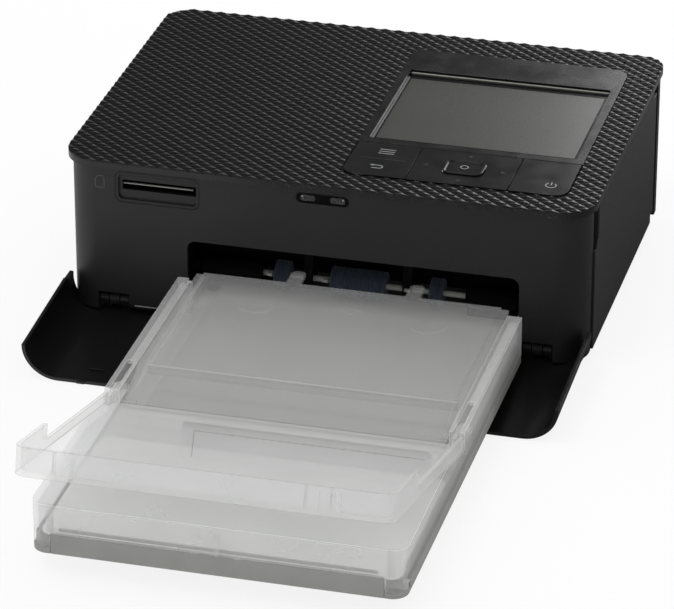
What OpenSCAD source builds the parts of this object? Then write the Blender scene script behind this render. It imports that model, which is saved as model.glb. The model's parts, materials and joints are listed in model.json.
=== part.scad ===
// Compact photo printer: a small desk printer with an open front door, a paper cassette pushed in
// at the front, and a ribbon cartridge behind the right-hand cover. Millimetres, +Z up, front at -Y.
// The modules use a working frame with Y = 0 on the front face of the closed door and Z = 0 just
// under the casing; at_origin() then moves everything to the base centre of the whole object.

/* [Casing] */
// Width over the top cover
body_w = 182.2; // [170:0.1:220]
// Depth over the top cover
body_d = 133; // [128:0.5:165]
// Height of the top cover above the underside of the casing
body_h = 57.6; // [56:0.1:75]
// Corner radius at the front, seen from above
front_r = 12; // [10:0.5:14]
// Corner radius at the back, seen from above
rear_r = 9; // [6:0.5:12]
// Thickness of the moulded casing walls
shell_wall = 1.8; // [1.4:0.1:2.4]
// Inset of the side and rear panels under the top cover
side_inset = 0.8; // [0.4:0.1:1.4]
// Inset of the front shell, which leaves room for the door
front_inset = 1.6; // [1.5:0.1:2.2]
// Height of the smooth band round the top cover
band_h = 2.9; // [2:0.1:4]
// Thickness of the top cover
cover_t = 2.2; // [1.6:0.1:3]
// Height of the rubber feet below the casing
foot_drop = 4; // [4:0.1:8]
// Diameter of the rubber feet
foot_d = 12; // [8:0.5:16]

/* [Front door] */
// Wall thickness of the door
door_t = 1.2; // [1:0.1:1.2]
// Height of the door above the underside of the casing
door_h = 54; // [48:0.5:54]
// How far the door corners wrap round the sides
door_wrap = 12.4; // [11:0.1:12.6]
// Height of the hinge axis
hinge_z = 4.3; // [4.2:0.1:4.5]
// Angle of the open door, measured from closed
door_open = 93.4; // [90:0.1:94]
// Diameter of the door hinge pins
door_pin_d = 2.4; // [2:0.1:2.6]

/* [Cassette opening] */
// Left edge of the opening
mouth_x0 = -47.2; // [-50:0.1:-46]
// Right edge of the opening
mouth_x1 = 67.3; // [67:0.1:69]
// Top of the opening
mouth_top = 30.5; // [29:0.1:32]

/* [Cassette] */
// Overall width of the cassette
tray_w = 118.4; // [117:0.1:120]
// Sideways place of the cassette centre
tray_x = 10.7; // [10:0.1:11]
// Distance from the casing front to the front of the cassette
tray_front = 165; // [163:0.5:180]
// Depth of the cassette inside the casing
tray_rear = 22; // [21:0.5:23]
// Height of the cassette underside
tray_z = 3.2; // [3.2:0.1:3.4]
// Height of the cassette rim
rim_z = 20; // [19.5:0.1:20.2]
// Wall thickness of the cassette
tray_wall = 1.5; // [1.2:0.1:1.8]
// Length of the outer lid from its hinge
lid_len = 103; // [85:0.1:112]
// Slope of the open outer lid
lid_slope = 14.1; // [14:0.1:16]
// Height of the end wall of the outer lid
lid_wall_h = 9.1; // [8:0.1:9.5]
// Slope at which the cassette is drawn out
draw_slope = 11; // [11:0.1:12]
// Width of the paper
paper_w = 100; // [89:0.5:101]
// Length of the paper
paper_l = 168; // [150:0.5:172]
// Height of the paper stack
paper_h = 2.2; // [1:0.1:2.2]

/* [Operation panel] */
// Left edge of the panel
panel_x0 = 3; // [0:0.1:4]
// Right edge of the panel
panel_x1 = 80.5; // [80:0.1:82]
// Front edge of the panel
panel_y0 = 11.5; // [10:0.1:14]
// Rear edge of the panel
panel_y1 = 118; // [110:0.5:119]
// Corner radius of the panel
panel_r = 5; // [4:0.1:6]
// Depth of the key row
key_row = 26.2; // [24:0.1:28]
// Width of the menu and back key
menu_w = 22.5; // [20:0.1:24]
// Width of the four-way plate
plate_w = 34.8; // [32:0.1:36]
// Gap round the keys
key_gap = 0.35; // [0.3:0.05:0.5]
// Press travel of the keys
key_travel = 0.3; // [0.2:0.05:0.35]
// Width of the display window
window_w = 71.6; // [68:0.1:73]
// Depth of the display window
window_d = 59; // [55:0.1:62]

/* [Drive] */
// Tooth size of the gears
gear_m = 0.8; // [0.8:0.1:0.8]
// Width of the gears
gear_w = 3; // [2:0.5:4]
// Diameter of the steel shafts
shaft_d = 4; // [3:0.5:4]
// Diameter of the pick-up rollers
pick_d = 11; // [10:0.1:11]
// Diameter of the platen roller
platen_d = 9.6; // [9:0.1:10]
// Diameter of the feed roller
feed_d = 8; // [7:0.1:9]
// Diameter of the pinch roller
pinch_d = 6; // [5:0.1:7]
// Running clearance of a shaft in its bush, on the radius
run_gap = 0.05; // [0.02:0.01:0.1]

/* [Ribbon cartridge] */
// Outside diameter of the spool housings
drum_d = 19; // [15:0.1:20]
// Length of the cartridge between its ends
ribbon_l = 118; // [116:0.5:119]

/* [Hidden] */
$fn = 48;
eps = 0.01;
gap = 0.3;                       // between pieces that move past each other
c_shell = "#2c2c2e";
c_gloss = "#0e0e10";
c_frost = "#d6d6d4";
c_grey = "#7d7d7a";
c_steel = "#b4b6b8";
c_rubber = "#26313f";

side_x = body_w / 2;
end_inset = front_inset + shell_wall;
shell_top = body_h - band_h - 0.2;
floor_z = 1.2;
floor_t = 1.6;
floor_top = floor_z + floor_t;
split_y = 13.5;                  // joint between the front shell and the side panels
rear_split = body_d - 11.9;      // joint between the side panels and the rear panel
seam = 0.2;
notch_t = 1.6;                   // tab behind each finger notch
notch_back = side_x - side_inset - shell_wall - gap - notch_t / 2;

// Card slot and sensors
card_x0 = -72;
card_x1 = -42.8;
card_z0 = 42.4;
card_z1 = 53.4;
card_r = 2.5;
slit_x0 = -69.8;                 // the slit for the card
slit_x1 = -44.1;
slit_z0 = 46.7;
slit_z1 = 50.1;
sensor_w = 18.2;
sensor_z0 = 49.6;
sensor_z1 = 53.3;
lens_x = 6;
lens_d = 2.6;

// Rear panel
slot_x0 = -49;                   // slot for the sheet
slot_x1 = 70;
slot_z0 = 7.5;
slot_z1 = 16.5;
inlet_at = [72, 28];
inlet_d = 5.5;
usb_x = -66;
batt_x = [-6, 2, 10, 18];
batt_w = 2.6;
batt_z0 = 35;
batt_z1 = 41;
vent_w = 2.5;
vent_pitch = 6;

// Door hinge: the shell edge, the door lip and the door plate are concentric with the hinge.
lip_in = 3.8;
hinge_y = lip_in + door_t;
edge_r = hinge_y - front_inset;
lip_end = 240;                   // angle where the curved lip of the closed door stops
ear_x = 73.6;                    // middle of a hinge ear of the base
ear_w = 3.4;
door_ear_w = 3;
ear_r = 2.6;
hinge_x = side_x - front_r;      // the door is flat between +-hinge_x
wrap_z = 8;                      // the wrapped corners of the door start here

// Cassette
tray_x0 = tray_x - tray_w / 2;
tray_x1 = tray_x + tray_w / 2;
neck_x0 = mouth_x0 + 1;
neck_x1 = mouth_x1 - 0.9;
shoulder_y = -5;
base_rim = 7;                    // top of the grey rim of the cassette
neck_z = 11.5;
tray_floor = tray_z + 1.4;
tray_r = 5;
strip_x0 = tray_x0 + 6.6;
strip_x1 = tray_x1 - 6.6;
strip_t = 1.6;
strip_z = 10;
lid_y = -79;                     // hinge of the outer lid
lid_z = 16.5;
lid_drop = 4.1;                  // from the hinge axis to the outside of the lid floor
lid_t = 1.3;
ear_len = 30;                    // the tall end of the lid's side walls
arm_t = 1.6;
lid_back = 9.6;                  // the lid floor starts this far in front of its hinge
lid_pin_d = 2.2;
flange_w = 5;
inner_y = -84.5;                 // hinge of the inner lid
inner_z = 14;
inner_top = 20.6;
inner_t = 1.2;
inner_bend = -68;
inner_rear = -1;
inner_pin_d = 2;
paper_y1 = tray_rear - tray_wall - 0.5;
paper_z = 6;
lift_y0 = -24;                   // hinge of the lift plate
lift_top = paper_z - gap;
lift_t = 0.8;
lift_w = 64;
lift_pin_d = 0.8;
// The lid floor's underside, as z over y, with room below it.
function ramp_z(y) = lid_z - lid_drop / cos(lid_slope) + (lid_y - y) * tan(lid_slope) - 0.45;
ramp_y1 = lid_y - lid_back + 0.7;
ramp_y0 = lid_y - (rim_z - ramp_z(lid_y)) / tan(lid_slope);
inner_x0 = tray_x0 + flange_w + gap;
inner_x1 = tray_x1 - flange_w - gap;
inner_side = 2.6;                // lowered strip at each side of the inner lid

// Drive train, as [y, z] of each axis
pick_at = [15, 15.2];
pick_teeth = 20;
idler_teeth = 29;
platen_teeth = 20;
feed_teeth = 20;
motor_teeth = 12;
idler_at = pick_at + gear_reach(pick_teeth, idler_teeth) * [cos(10), sin(10)];
platen_at = idler_at + gear_reach(idler_teeth, platen_teeth) * [cos(-20), sin(-20)];
feed_at = platen_at + gear_reach(platen_teeth, feed_teeth) * [1, 0];
motor_at = feed_at + gear_reach(feed_teeth, motor_teeth) * [cos(12), sin(12)];
pinch_at = feed_at + [0, (feed_d + pinch_d) / 2 + gap];
plate_l = -56;                   // left chassis plate
plate_r = 75;                    // right chassis plate
plate_t = 1.2;
pinch_shaft_d = 3;
gear_x = plate_l - 1 - gear_w;
roll_x0 = mouth_x0 + 3;
roll_x1 = mouth_x1 - 2;
idler_phase = 4;
platen_phase = mesh(heading(idler_at, platen_at), idler_phase, idler_teeth, platen_teeth);
feed_phase = mesh(heading(platen_at, feed_at), platen_phase, platen_teeth, feed_teeth);
pinion_phase = mesh(heading(feed_at, motor_at), feed_phase, feed_teeth, motor_teeth);
motor_shaft_d = 1.6;
hangers = [-9.4, 25];
hanger_w = 3;
roller_runs = [[-20, -14.3], [-1.1, 19.8], [33.7, 39.5]];
sleeve_runs = [[mouth_x0 + 2.6, -24], [46.8, mouth_x1 - 3]];
sleeve_d = 7.4;
rib_count = 24;                  // ribs of a pick-up roller
rib_h = 0.35;
plate_y0 = 9.5;                  // chassis plates, front to back and top
plate_y1 = body_d - 22;
plate_z = 42;
foot_w = 6;

// Screws and feet
screw_d = 2.4;
boss_d = 6.4;
motor_d = 18;
screw_x = [-side_x + 16, side_x - 10];
screw_y = [38, motor_at.x - motor_d / 2 - 10.24, body_d - 16];

// Thermal head and ribbon cartridge
film_t = 0.15;
film_z = platen_at.y + platen_d / 2 + gap;
drum_z = 36;
take_at = [platen_at.x - 19.5, drum_z];
supply_at = [platen_at.x + 27.5, drum_z];
drum_wall = 1.2;
spool_d = 5;
supply_d = drum_d - 2 * drum_wall - 2.6;   // film on the spools of a new cartridge
take_d = supply_d - 3;
ribbon_x0 = plate_l + 12;
ribbon_x1 = ribbon_x0 + ribbon_l;
drum_front = take_at.x + drum_d / 2;       // the sides of the drums that face each other
drum_back = supply_at.x - drum_d / 2;
band_z = film_z + 0.5;           // end band of the cartridge, between the film and the head
band_t = 2.6;
band_w = 1.2;
head_z = band_z + band_t + gap + 0.1;
head_drop = head_z - film_z - film_t - 0.25;
head_y0 = platen_at.x - 5;
head_y1 = platen_at.x + 5;
head_h = 7;
fin_pitch = 2.25;
head_reach = 40;                 // from the middle of the head to a guide post
head_mid = (roll_x0 + roll_x1) / 2;
post_d = 3;
bridge_y = platen_at.x;
bridge_z = 40;                   // chassis bridge with the bushes of the posts
bridge_t = 1.6;
bridge_d = 12;
port_y0 = take_at.x - drum_d / 2 - 1;      // opening of the right plate for the cartridge
port_y1 = supply_at.x + drum_d / 2 + 1;
port_z0 = drum_z - drum_d / 2 - 1;
port_z1 = drum_z + drum_d / 2 + 0.8;

// Compartment cover
cover_ax = side_x - side_inset - 2.8;
barrel_r = 2.8;
cover_ay = rear_split - barrel_r - 0.5;
cover_pin_d = 2.2;
barrel_z0 = 4.5;
barrel_z1 = 50;

// Operation panel
key_y1 = panel_y0 + key_row;
plate_x0 = panel_x0 + menu_w;
plate_x1 = plate_x0 + plate_w;
window_x0 = (panel_x0 + panel_x1 - window_w) / 2;
window_y0 = key_y1 + 3.4;
window_sink = 1.4;
ok_x = (plate_x0 + plate_x1) / 2;
ok_y = panel_y0 + key_row / 2;
ok_w = 13.6;
ok_d = 10.4;
ok_rise = 0.5;
key_t = 1.8;
dome_top = body_h - 6.6;
board_z = body_h - 8.6;
board_t = 1.2;
bezel_t = 4;
glass_t = 1.4;
key_foot_d = 3;                  // pegs under the keys, over the switches
dome_d = 5;
dome_places = [[panel_x0 + menu_w / 2, panel_y0 + 6], [panel_x0 + menu_w / 2, key_y1 - 6], [ok_x, ok_y],
    [plate_x0 + 5, ok_y], [plate_x1 - 5, ok_y], [ok_x, key_y1 - 3], [ok_x, panel_y0 + 3],
    [(plate_x1 + panel_x1) / 2, ok_y]];
pad_top = body_h - key_t - gap;  // rubber pad under the four-way plate
pad_t = 1.3;
pad_axis_z = body_h - key_t - 1.2;
pad_ridge_d = 1.7;
ridge_gap = 0.2;
plate_ridge_d = 1.2;
main_y = body_d - 10;            // front face of the main board

lid_tip = lid_y - lid_len * cos(lid_slope) - lid_drop * sin(lid_slope);
shift_y = -(lid_tip + body_d) / 2;

function gear_reach(a, b) = gear_m * (a + b) / 2;
// Phase of gear b, so that it meshes with gear a, which lies at angle "toward" from a to b.
function mesh(toward, phase_a, a, b) = toward + 180 + ((toward - phase_a) * a / 360 - 0.5) * 360 / b;
function heading(p, q) = atan2(q.y - p.y, q.x - p.x);

module at_origin() translate([0, shift_y, foot_drop]) children();

module box(x0, x1, y0, y1, z0, z1)
    translate([x0, y0, z0]) cube([x1 - x0, y1 - y0, z1 - z0]);

// A cylinder along X about the line through at = [y, z].
module rod(x0, x1, at, d)
    translate([x0, at.x, at.y]) rotate([0, 90, 0]) cylinder(h = x1 - x0, d = d);

// Extrudes a Y-Z profile along X.
module along_x(x0, x1)
    translate([x0, 0, 0]) rotate([90, 0, 90]) linear_extrude(x1 - x0) children();

module rounded(x0, x1, y0, y1, r) {
    translate([x0 + r, y0]) square([x1 - x0 - 2 * r, y1 - y0]);
    translate([x0, y0 + r]) square([x1 - x0, y1 - y0 - 2 * r]);
    for (x = [x0 + r, x1 - r], y = [y0 + r, y1 - r]) translate([x, y]) circle(r);
}

module slab(x0, x1, y0, y1, r, z0, z1)
    translate([0, 0, z0]) linear_extrude(z1 - z0) rounded(x0, x1, y0, y1, r);

// Plan of the casing, inset by i.
module outline(i) {
    w = side_x - i;
    f = front_r - i;
    b = rear_r - i;
    translate([-w, i + f]) square([2 * w, body_d - 2 * i - f - b]);
    translate([-w + f, i]) square([2 * (w - f), f + eps]);
    translate([-w + b, body_d - i - b - eps]) square([2 * (w - b), b + eps]);
    for (s = [-1, 1]) {
        translate([s * (w - f), i + f]) circle(f);
        translate([s * (w - b), body_d - i - b]) circle(b);
    }
}

module ring(i, t, z0, z1)
    translate([0, 0, z0]) linear_extrude(z1 - z0) difference() {
        outline(i);
        outline(i + t);
    }

module gear_2d(teeth, phase) {
    rp = gear_m * teeth / 2;
    root = rp - 1.1 * gear_m;
    tip = rp + 0.85 * gear_m;
    half = 360 / teeth / 4;
    rotate(phase) union() {
        circle(root);
        for (k = [0:teeth - 1]) rotate(k * 360 / teeth)
            polygon([for (p = [[root - 0.3, -1.35], [rp, -0.84], [tip, -0.42], [tip, 0.42], [rp, 0.84],
                [root - 0.3, 1.35]]) p[0] * [cos(p[1] * half), sin(p[1] * half)]]);
    }
}

module gear(teeth, at, phase, bore)
    along_x(gear_x, gear_x + gear_w) translate(at) difference() {
        gear_2d(teeth, phase);
        circle(d = bore);
    }

// ---- Casing -------------------------------------------------------------------------------------

module base_tray() at_origin() color(c_shell) {
    in = end_inset + 0.2;
    difference() {
        union() {
            intersection() {
                translate([0, 0, floor_z]) linear_extrude(floor_t) outline(in);
                box(-side_x, side_x, hinge_y + 5.4, body_d, 0, body_h);
            }
            for (s = [-1, 1]) {
                rod(s * ear_x - ear_w / 2, s * ear_x + ear_w / 2, [hinge_y, hinge_z], 2 * ear_r);
                ear_block(s, hinge_y, hinge_z - 0.8);
                ear_block(s, hinge_y + 5.8, floor_z);
            }
            screw_places() cylinder(h = 12, d = boss_d);
            translate([cover_ax - 1, cover_ay, floor_z]) cylinder(h = barrel_z0 - gap - floor_z, d = 5);
            for (y = [30, 52]) box(-side_x + 6, plate_l - 10, y, y + 1.4, floor_top - eps, floor_top + 3);
        }
        for (s = [-1, 1]) rod(s * ear_x - 5, s * ear_x + 5, [hinge_y, hinge_z], door_pin_d);
        screw_places() translate([0, 0, -1]) cylinder(h = 12, d = screw_d);
        screw_places() translate([0, 0, -1]) cylinder(h = 2, d = 5.2);
        foot_places() translate([0, 0, -1]) cylinder(h = 1.8, d = foot_d + 0.2);
        translate([cover_ax, cover_ay, 0]) cylinder(h = 10, d = cover_pin_d);
    }
}

// Part of the stalk of a hinge ear, from y and z up to the top of the stalk.
module ear_block(s, y, z)
    box(s * ear_x - ear_w / 2, s * ear_x + ear_w / 2, y, hinge_y + 8, z, hinge_z + 2.2);

module screw_places()
    for (x = screw_x, y = screw_y) translate([x, y, floor_z]) children();

module foot_places()
    for (x = [-side_x + 22, side_x - 22], y = [24, body_d - 24])
        translate([x, y, floor_z]) children();

module feet() at_origin() color("#1a1a1a")
    foot_places() translate([0, 0, -foot_drop - floor_z])
        cylinder(h = foot_drop + floor_z + 0.8, d = foot_d);

module case_screws() at_origin() color(c_steel)
    screw_places() difference() {
        union() {
            translate([0, 0, -0.2]) cylinder(h = 1.2, d = 5);
            cylinder(h = 9, d = screw_d);
        }
        translate([0, 0, -0.3]) for (a = [0, 90]) rotate(a) translate([-1.4, -0.3, 0]) cube([2.8, 0.6, 0.8]);
    }

module front_shell() at_origin() color(c_shell) {
    difference() {
        union() {
            intersection() {
                ring(front_inset, shell_wall, floor_z - 0.2, shell_top);
                box(-side_x, side_x, 0, split_y, 0, body_h);
            }
            // Backs the finger notch of each side panel.
            for (s = [-1, 1]) box(s * notch_back - notch_t / 2, s * notch_back + notch_t / 2,
                split_y - 3, split_y + 7, 36, shell_top);
        }
        // The lower edge turns under, concentric with the door hinge.
        box(-hinge_x, hinge_x, 0, split_y, 0, hinge_z);
        for (s = [-1, 1]) box(s * ear_x - 5.4, s * ear_x + 5.4, 0, split_y, 0, hinge_z + ear_r + 0.7);
        // Cassette opening, square below and rounded above.
        box(mouth_x0, mouth_x1, 0, split_y, 0, mouth_top - 3);
        along_y(0, split_y) rounded(mouth_x0, mouth_x1, 10, mouth_top, 3);
        along_y(0, split_y) rounded(card_x0, card_x1, card_z0, card_z1, card_r);
        along_y(0, split_y) sensor_pill(0);
    }
    intersection() {
        rod(-ear_x + 5.4, ear_x - 5.4, [hinge_y, hinge_z], 2 * edge_r);
        difference() {
            box(-side_x, side_x, 0, split_y, 0, hinge_z + eps);
            box(mouth_x0, mouth_x1, 0, split_y, tray_z - gap, body_h);
            box(-side_x, side_x, front_inset + shell_wall, split_y, tray_z - gap, body_h);
        }
    }
}

// Extrudes an X-Z profile along Y.
module along_y(y0, y1)
    translate([0, y1, 0]) rotate([90, 0, 0]) linear_extrude(y1 - y0) children();

module notch(s) {
    x0 = s > 0 ? side_x - 4 : -side_x - 1;
    along_x(x0, x0 + 5)
        polygon([[split_y - 1, 38], [split_y + 2, 38], [split_y + 5, 41.5], [split_y + 5, shell_top - 2.3],
            [split_y - 1, shell_top - 2.3]]);
}

module left_panel() at_origin() color(c_shell) difference() {
    intersection() {
        ring(side_inset, shell_wall, 1.5, shell_top);
        box(-side_x, 0, split_y + seam, rear_split - seam, 0, body_h);
    }
    notch(-1);
}

module rear_panel() at_origin() color(c_shell) difference() {
    union() {
        intersection() {
            ring(side_inset, shell_wall, 1.5, shell_top);
            box(-side_x, side_x, rear_split, body_d, 0, body_h);
        }
        // Ear that holds the upper pin of the compartment cover.
        box(cover_ax - 3.4, side_x - side_inset - 1, cover_ay - 3.2, rear_split + 4,
            barrel_z1 + gap, barrel_z1 + 2.3);
    }
    translate([cover_ax, cover_ay, barrel_z1 - 4]) cylinder(h = 10, d = cover_pin_d);
    // Slot where the paper shows at the back while it is printed.
    box(slot_x0, slot_x1, rear_split + 6, body_d + 1, slot_z0, slot_z1);
    // Power inlet, data port and battery contacts.
    rod_y(inlet_at, body_d - 6, body_d + 1, 9);
    box(usb_x - 5, usb_x + 5, body_d - 6, body_d + 1, 24, 29);
    for (x = batt_x)
        box(x - batt_w / 2 - gap, x + batt_w / 2 + gap, body_d - 6, body_d + 1, batt_z0 - 1, batt_z1 + 1);
    for (k = [0:9]) translate([vent_pitch * k - 20, 0, 0]) box(0, vent_w, body_d - 6, body_d + 1, 46.5, 51.5);
}

// A cylinder along Y about the line through at = [x, z].
module rod_y(at, y0, y1, d)
    translate([at.x, y1, at.y]) rotate([90, 0, 0]) cylinder(h = y1 - y0, d = d);

module top_cover() at_origin() color("#1c1c1e") difference() {
    union() {
        translate([0, 0, body_h - cover_t]) linear_extrude(cover_t) outline(0);
        ring(0, end_inset - 0.2, body_h - band_h, body_h - cover_t + eps);
        // Lip that locates the cover inside the casing.
        difference() {
            ring(end_inset + 0.15, 1.4, shell_top - 2, body_h - cover_t + eps);
            box(-side_x, side_x, body_d - 14, body_d, 0, body_h - cover_t);
            box(side_x - 14, side_x, 0, 24, 0, body_h - cover_t);
            box(-side_x, 14 - side_x, 0, 24, 0, body_h - cover_t);
            box(-side_x, side_x, 0, 8, 0, body_h - cover_t);
        }
    }
    slab(panel_x0 - 0.2, panel_x1 + 0.2, panel_y0 - 0.2, panel_y1 + 0.2, panel_r + 0.2, 0, body_h + 1);
}

// ---- Operation panel ----------------------------------------------------------------------------

module panel_bezel() at_origin() color(c_gloss) {
    difference() {
        slab(panel_x0, panel_x1, panel_y0, panel_y1, panel_r, body_h - bezel_t, body_h);
        box(panel_x0 - 1, panel_x1 + 1, panel_y0 - 1, key_y1, body_h - 5, body_h + 1);
        window_slab(0, 1.2, body_h - window_sink - glass_t, body_h + 1);
        window_slab(1.2, 1, 0, body_h + 1);
    }
    // Frame that passes round the keys, under the cover, and carries the board.
    difference() {
        slab(panel_x0 - 2, panel_x1 + 2, panel_y0 - 2, key_y1 + 2, panel_r + 2,
            body_h - bezel_t, body_h - cover_t - eps);
        slab(panel_x0 + key_gap - 0.4, panel_x1 - key_gap + 0.4, panel_y0 + key_gap - 0.4, key_y1 + 0.1,
            panel_r - 0.2, 0, body_h);
    }
    for (x = [panel_x0 + 1, panel_x1 - 3], y = [key_y1 + 1, panel_y1 - 7])
        box(x, x + 2, y, y + 2, board_z + board_t, body_h - bezel_t + eps);
}

// A slab inside the outline of the display window, inset by i.
module window_slab(i, r, z0, z1)
    slab(window_x0 + i, window_x0 + window_w - i, window_y0 + i, window_y0 + window_d - i, r, z0, z1);

module display_window() at_origin() color("#26272a")
    window_slab(0.1, 1.1, body_h - window_sink - glass_t, body_h - window_sink);

module display_module() at_origin() color("#55575a")
    window_slab(1.4, 1, body_h - 6.2, body_h - window_sink - glass_t);

module panel_board() at_origin() color("#1d5a37") {
    box(panel_x0 + 0.5, panel_x1 - 0.5, panel_y0 + 1, panel_y1 - 3, board_z, board_z + board_t);
    for (p = dome_places)
        translate([p.x, p.y, board_z + board_t])
            cylinder(h = dome_top - 0.35 - board_z - board_t, d = dome_d);
    box(window_x0 + 12, window_x0 + window_w - 12, window_y0 + 10, window_y0 + 40,
        board_z + board_t - eps, body_h - 6.2);
}

// A peg under a key, from its switch up to the height z.
module key_foot(k, z)
    translate([dome_places[k].x, dome_places[k].y, dome_top]) cylinder(h = z - dome_top, d = key_foot_d);

// A slab round the place of the round-cornered middle key, larger by i.
module ok_slab(i, r, z0, z1)
    slab(ok_x - ok_w / 2 - i, ok_x + ok_w / 2 + i, ok_y - ok_d / 2 - i, ok_y + ok_d / 2 + i, r, z0, z1);

// A key plate with one or two square ends and rounded outer corners.
module key_plate(x0, x1, y0, y1, r_left, r_right, z0, z1)
    intersection() {
        slab(x0 - (r_left ? 0 : 20), x1 + (r_right ? 0 : 20), y0, y1 + 20, panel_r - key_gap, z0, z1);
        box(x0, x1, y0, y1, z0, z1);
    }

module menu_rocker() at_origin() color(c_gloss) {
    x0 = panel_x0 + key_gap;
    x1 = plate_x0 - key_gap / 2;
    y0 = panel_y0 + key_gap;
    y1 = key_y1 - key_gap;
    key_plate(x0, x1, y0, y1, true, false, body_h - key_t, body_h);
    for (k = [0, 1]) key_foot(k, body_h - key_t + eps);
    rod(x0 + 3, x1 - 3, [(y0 + y1) / 2, body_h - key_t - 0.6], 1.6);
}

module direction_plate() at_origin() color(c_gloss) difference() {
    union() {
        box(plate_x0 + key_gap / 2, plate_x1 - key_gap / 2, panel_y0 + key_gap, key_y1 - key_gap,
            body_h - key_t, body_h);
        // Ridge that the plate rocks on, to the left and right.
        rod_y([ok_x, body_h - key_t], panel_y0 + 2, key_y1 - 2, plate_ridge_d);
    }
    ok_slab(key_gap, 2.8, 0, body_h + 1);
}

// Rubber pad under the four-way plate: it rocks on its own ridge to the front and back.
module plate_carrier() at_origin() color("#3a3a3c") difference() {
    union() {
        slab(plate_x0 + 1, plate_x1 - 1, panel_y0 + 1.2, key_y1 - 1.2, 2, pad_top - pad_t, pad_top);
        rod(plate_x0 + 1, plate_x1 - 1, [ok_y, pad_axis_z], pad_ridge_d);
        for (k = [3:6]) key_foot(k, pad_top - pad_t + 0.1);
    }
    rod_y([ok_x, body_h - key_t], panel_y0, key_y1, plate_ridge_d + 2 * ridge_gap);
    ok_slab(0.8, 3, 0, body_h + 1);
}

module ok_key() at_origin() color(c_gloss) {
    difference() {
        ok_slab(0, 2.5, body_h - 3, body_h + ok_rise);
        ok_slab(-0.7, 1.8, body_h + ok_rise - 0.3, body_h + 2);
    }
    key_foot(2, body_h - 3 + eps);
}

module power_key() at_origin() color(c_gloss) {
    key_plate(plate_x1 + key_gap / 2, panel_x1 - key_gap, panel_y0 + key_gap, key_y1 - key_gap, false, true,
        body_h - key_t, body_h);
    key_foot(7, body_h - key_t + eps);
}

// ---- Front fittings -----------------------------------------------------------------------------

module card_slot_bezel() at_origin() color("#18181a") difference() {
    along_y(front_inset, front_inset + shell_wall + 0.6)
        rounded(card_x0 + 0.05, card_x1 - 0.05, card_z0 + 0.05, card_z1 - 0.05, card_r - 0.05);
    along_y(front_inset - 1, front_inset + 1)
        rounded(card_x0 + 1, card_x1 - 1, card_z0 + 1, card_z1 - 1, card_r - 0.8);
    box(slit_x0, slit_x1, 0, 10, slit_z0, slit_z1);
}

module card_reader() at_origin() color(c_steel) {
    y0 = front_inset + shell_wall + 0.6;
    difference() {
        box(slit_x0 - 0.8, slit_x1 + 0.8, y0, y0 + 23, slit_z0 - 1, slit_z1 + 0.8);
        box(slit_x0, slit_x1, y0 - 1, y0 + 20, slit_z0, slit_z1);
    }
    box(slit_x0 - 4, slit_x1 + 4, y0, y0 + 24, slit_z0 - 2.2, slit_z0 - 1);
}

// Outline of the sensor window, inset by i.
module sensor_pill(i)
    rounded(i - sensor_w / 2, sensor_w / 2 - i, sensor_z0 + i, sensor_z1 - i,
        (sensor_z1 - sensor_z0) / 2 - eps - i);

module sensor_window() at_origin() color("#101012")
    along_y(front_inset + 0.2, front_inset + shell_wall + 0.4) difference() {
        sensor_pill(0.05);
        for (x = [-lens_x, lens_x]) translate([x, (sensor_z0 + sensor_z1) / 2]) circle(d = lens_d);
    }

module sensor_lenses() at_origin() color("#3c3c44") for (x = [-lens_x, lens_x]) {
    at = [x, (sensor_z0 + sensor_z1) / 2];
    rod_y(at, front_inset + 0.4, front_inset + shell_wall + 0.4, lens_d);
    rod_y(at, front_inset + shell_wall + 0.4, front_inset + shell_wall + 3, lens_d + 1.4);
}

// ---- Front door ---------------------------------------------------------------------------------

// The wall of the door corner follows the plan of the casing.
module door_closed() {
    difference() {
        intersection() {
            ring(0, door_t, hinge_z, door_h);
            box(-side_x, side_x, 0, door_wrap, 0, door_h);
        }
        for (x = [-side_x - 1, hinge_x]) box(x, x + side_x + 1 - hinge_x, -1, door_wrap + 1, 0, wrap_z);
    }
    intersection() {
        difference() {
            rod(-hinge_x, hinge_x, [hinge_y, hinge_z], 2 * hinge_y);
            rod(-hinge_x - 1, hinge_x + 1, [hinge_y, hinge_z], 2 * lip_in);
        }
        lip_sector(hinge_x);
    }
    for (s = [-1, 1], e = [-1, 1]) door_ear(s * ear_x + e * (ear_w / 2 + gap + door_ear_w / 2));
}

// The quarter between straight out of the hinge and the end of the lip.
module lip_sector(x)
    along_x(-x, x) translate([hinge_y, hinge_z])
        polygon([[0, 0], [-9, 0], [-9, -9], 9 * [cos(lip_end), sin(lip_end)]]);

module door_ear(x) difference() {
    union() {
        rod(x - door_ear_w / 2, x + door_ear_w / 2, [hinge_y, hinge_z], 2 * ear_r);
        intersection() {
            rod(x - door_ear_w / 2, x + door_ear_w / 2, [hinge_y, hinge_z], 2 * lip_in + 0.6);
            lip_sector(hinge_x);
        }
    }
    rod(x - 5, x + 5, [hinge_y, hinge_z], door_pin_d + 2 * run_gap);
}

module front_door() at_origin() color(c_shell)
    translate([0, hinge_y, hinge_z]) rotate([door_open, 0, 0]) translate([0, -hinge_y, -hinge_z])
        door_closed();

module door_hinge_pins() at_origin() color(c_steel) for (s = [-1, 1]) {
    reach = ear_w / 2 + door_ear_w + 0.1;
    rod(s * ear_x - reach, s * ear_x + reach, [hinge_y, hinge_z], door_pin_d);
}

// ---- Cassette -----------------------------------------------------------------------------------

module tray_plan(i) {
    rounded(tray_x0 + i, tray_x1 - i, -tray_front + i, shoulder_y - i, tray_r - i);
    translate([tray_x0 + i, -60]) square([tray_w - 2 * i, 60 + shoulder_y - i]);
    translate([neck_x0 + i, shoulder_y - 10])
        square([neck_x1 - neck_x0 - 2 * i, 10 - shoulder_y + tray_rear - i]);
}

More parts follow.
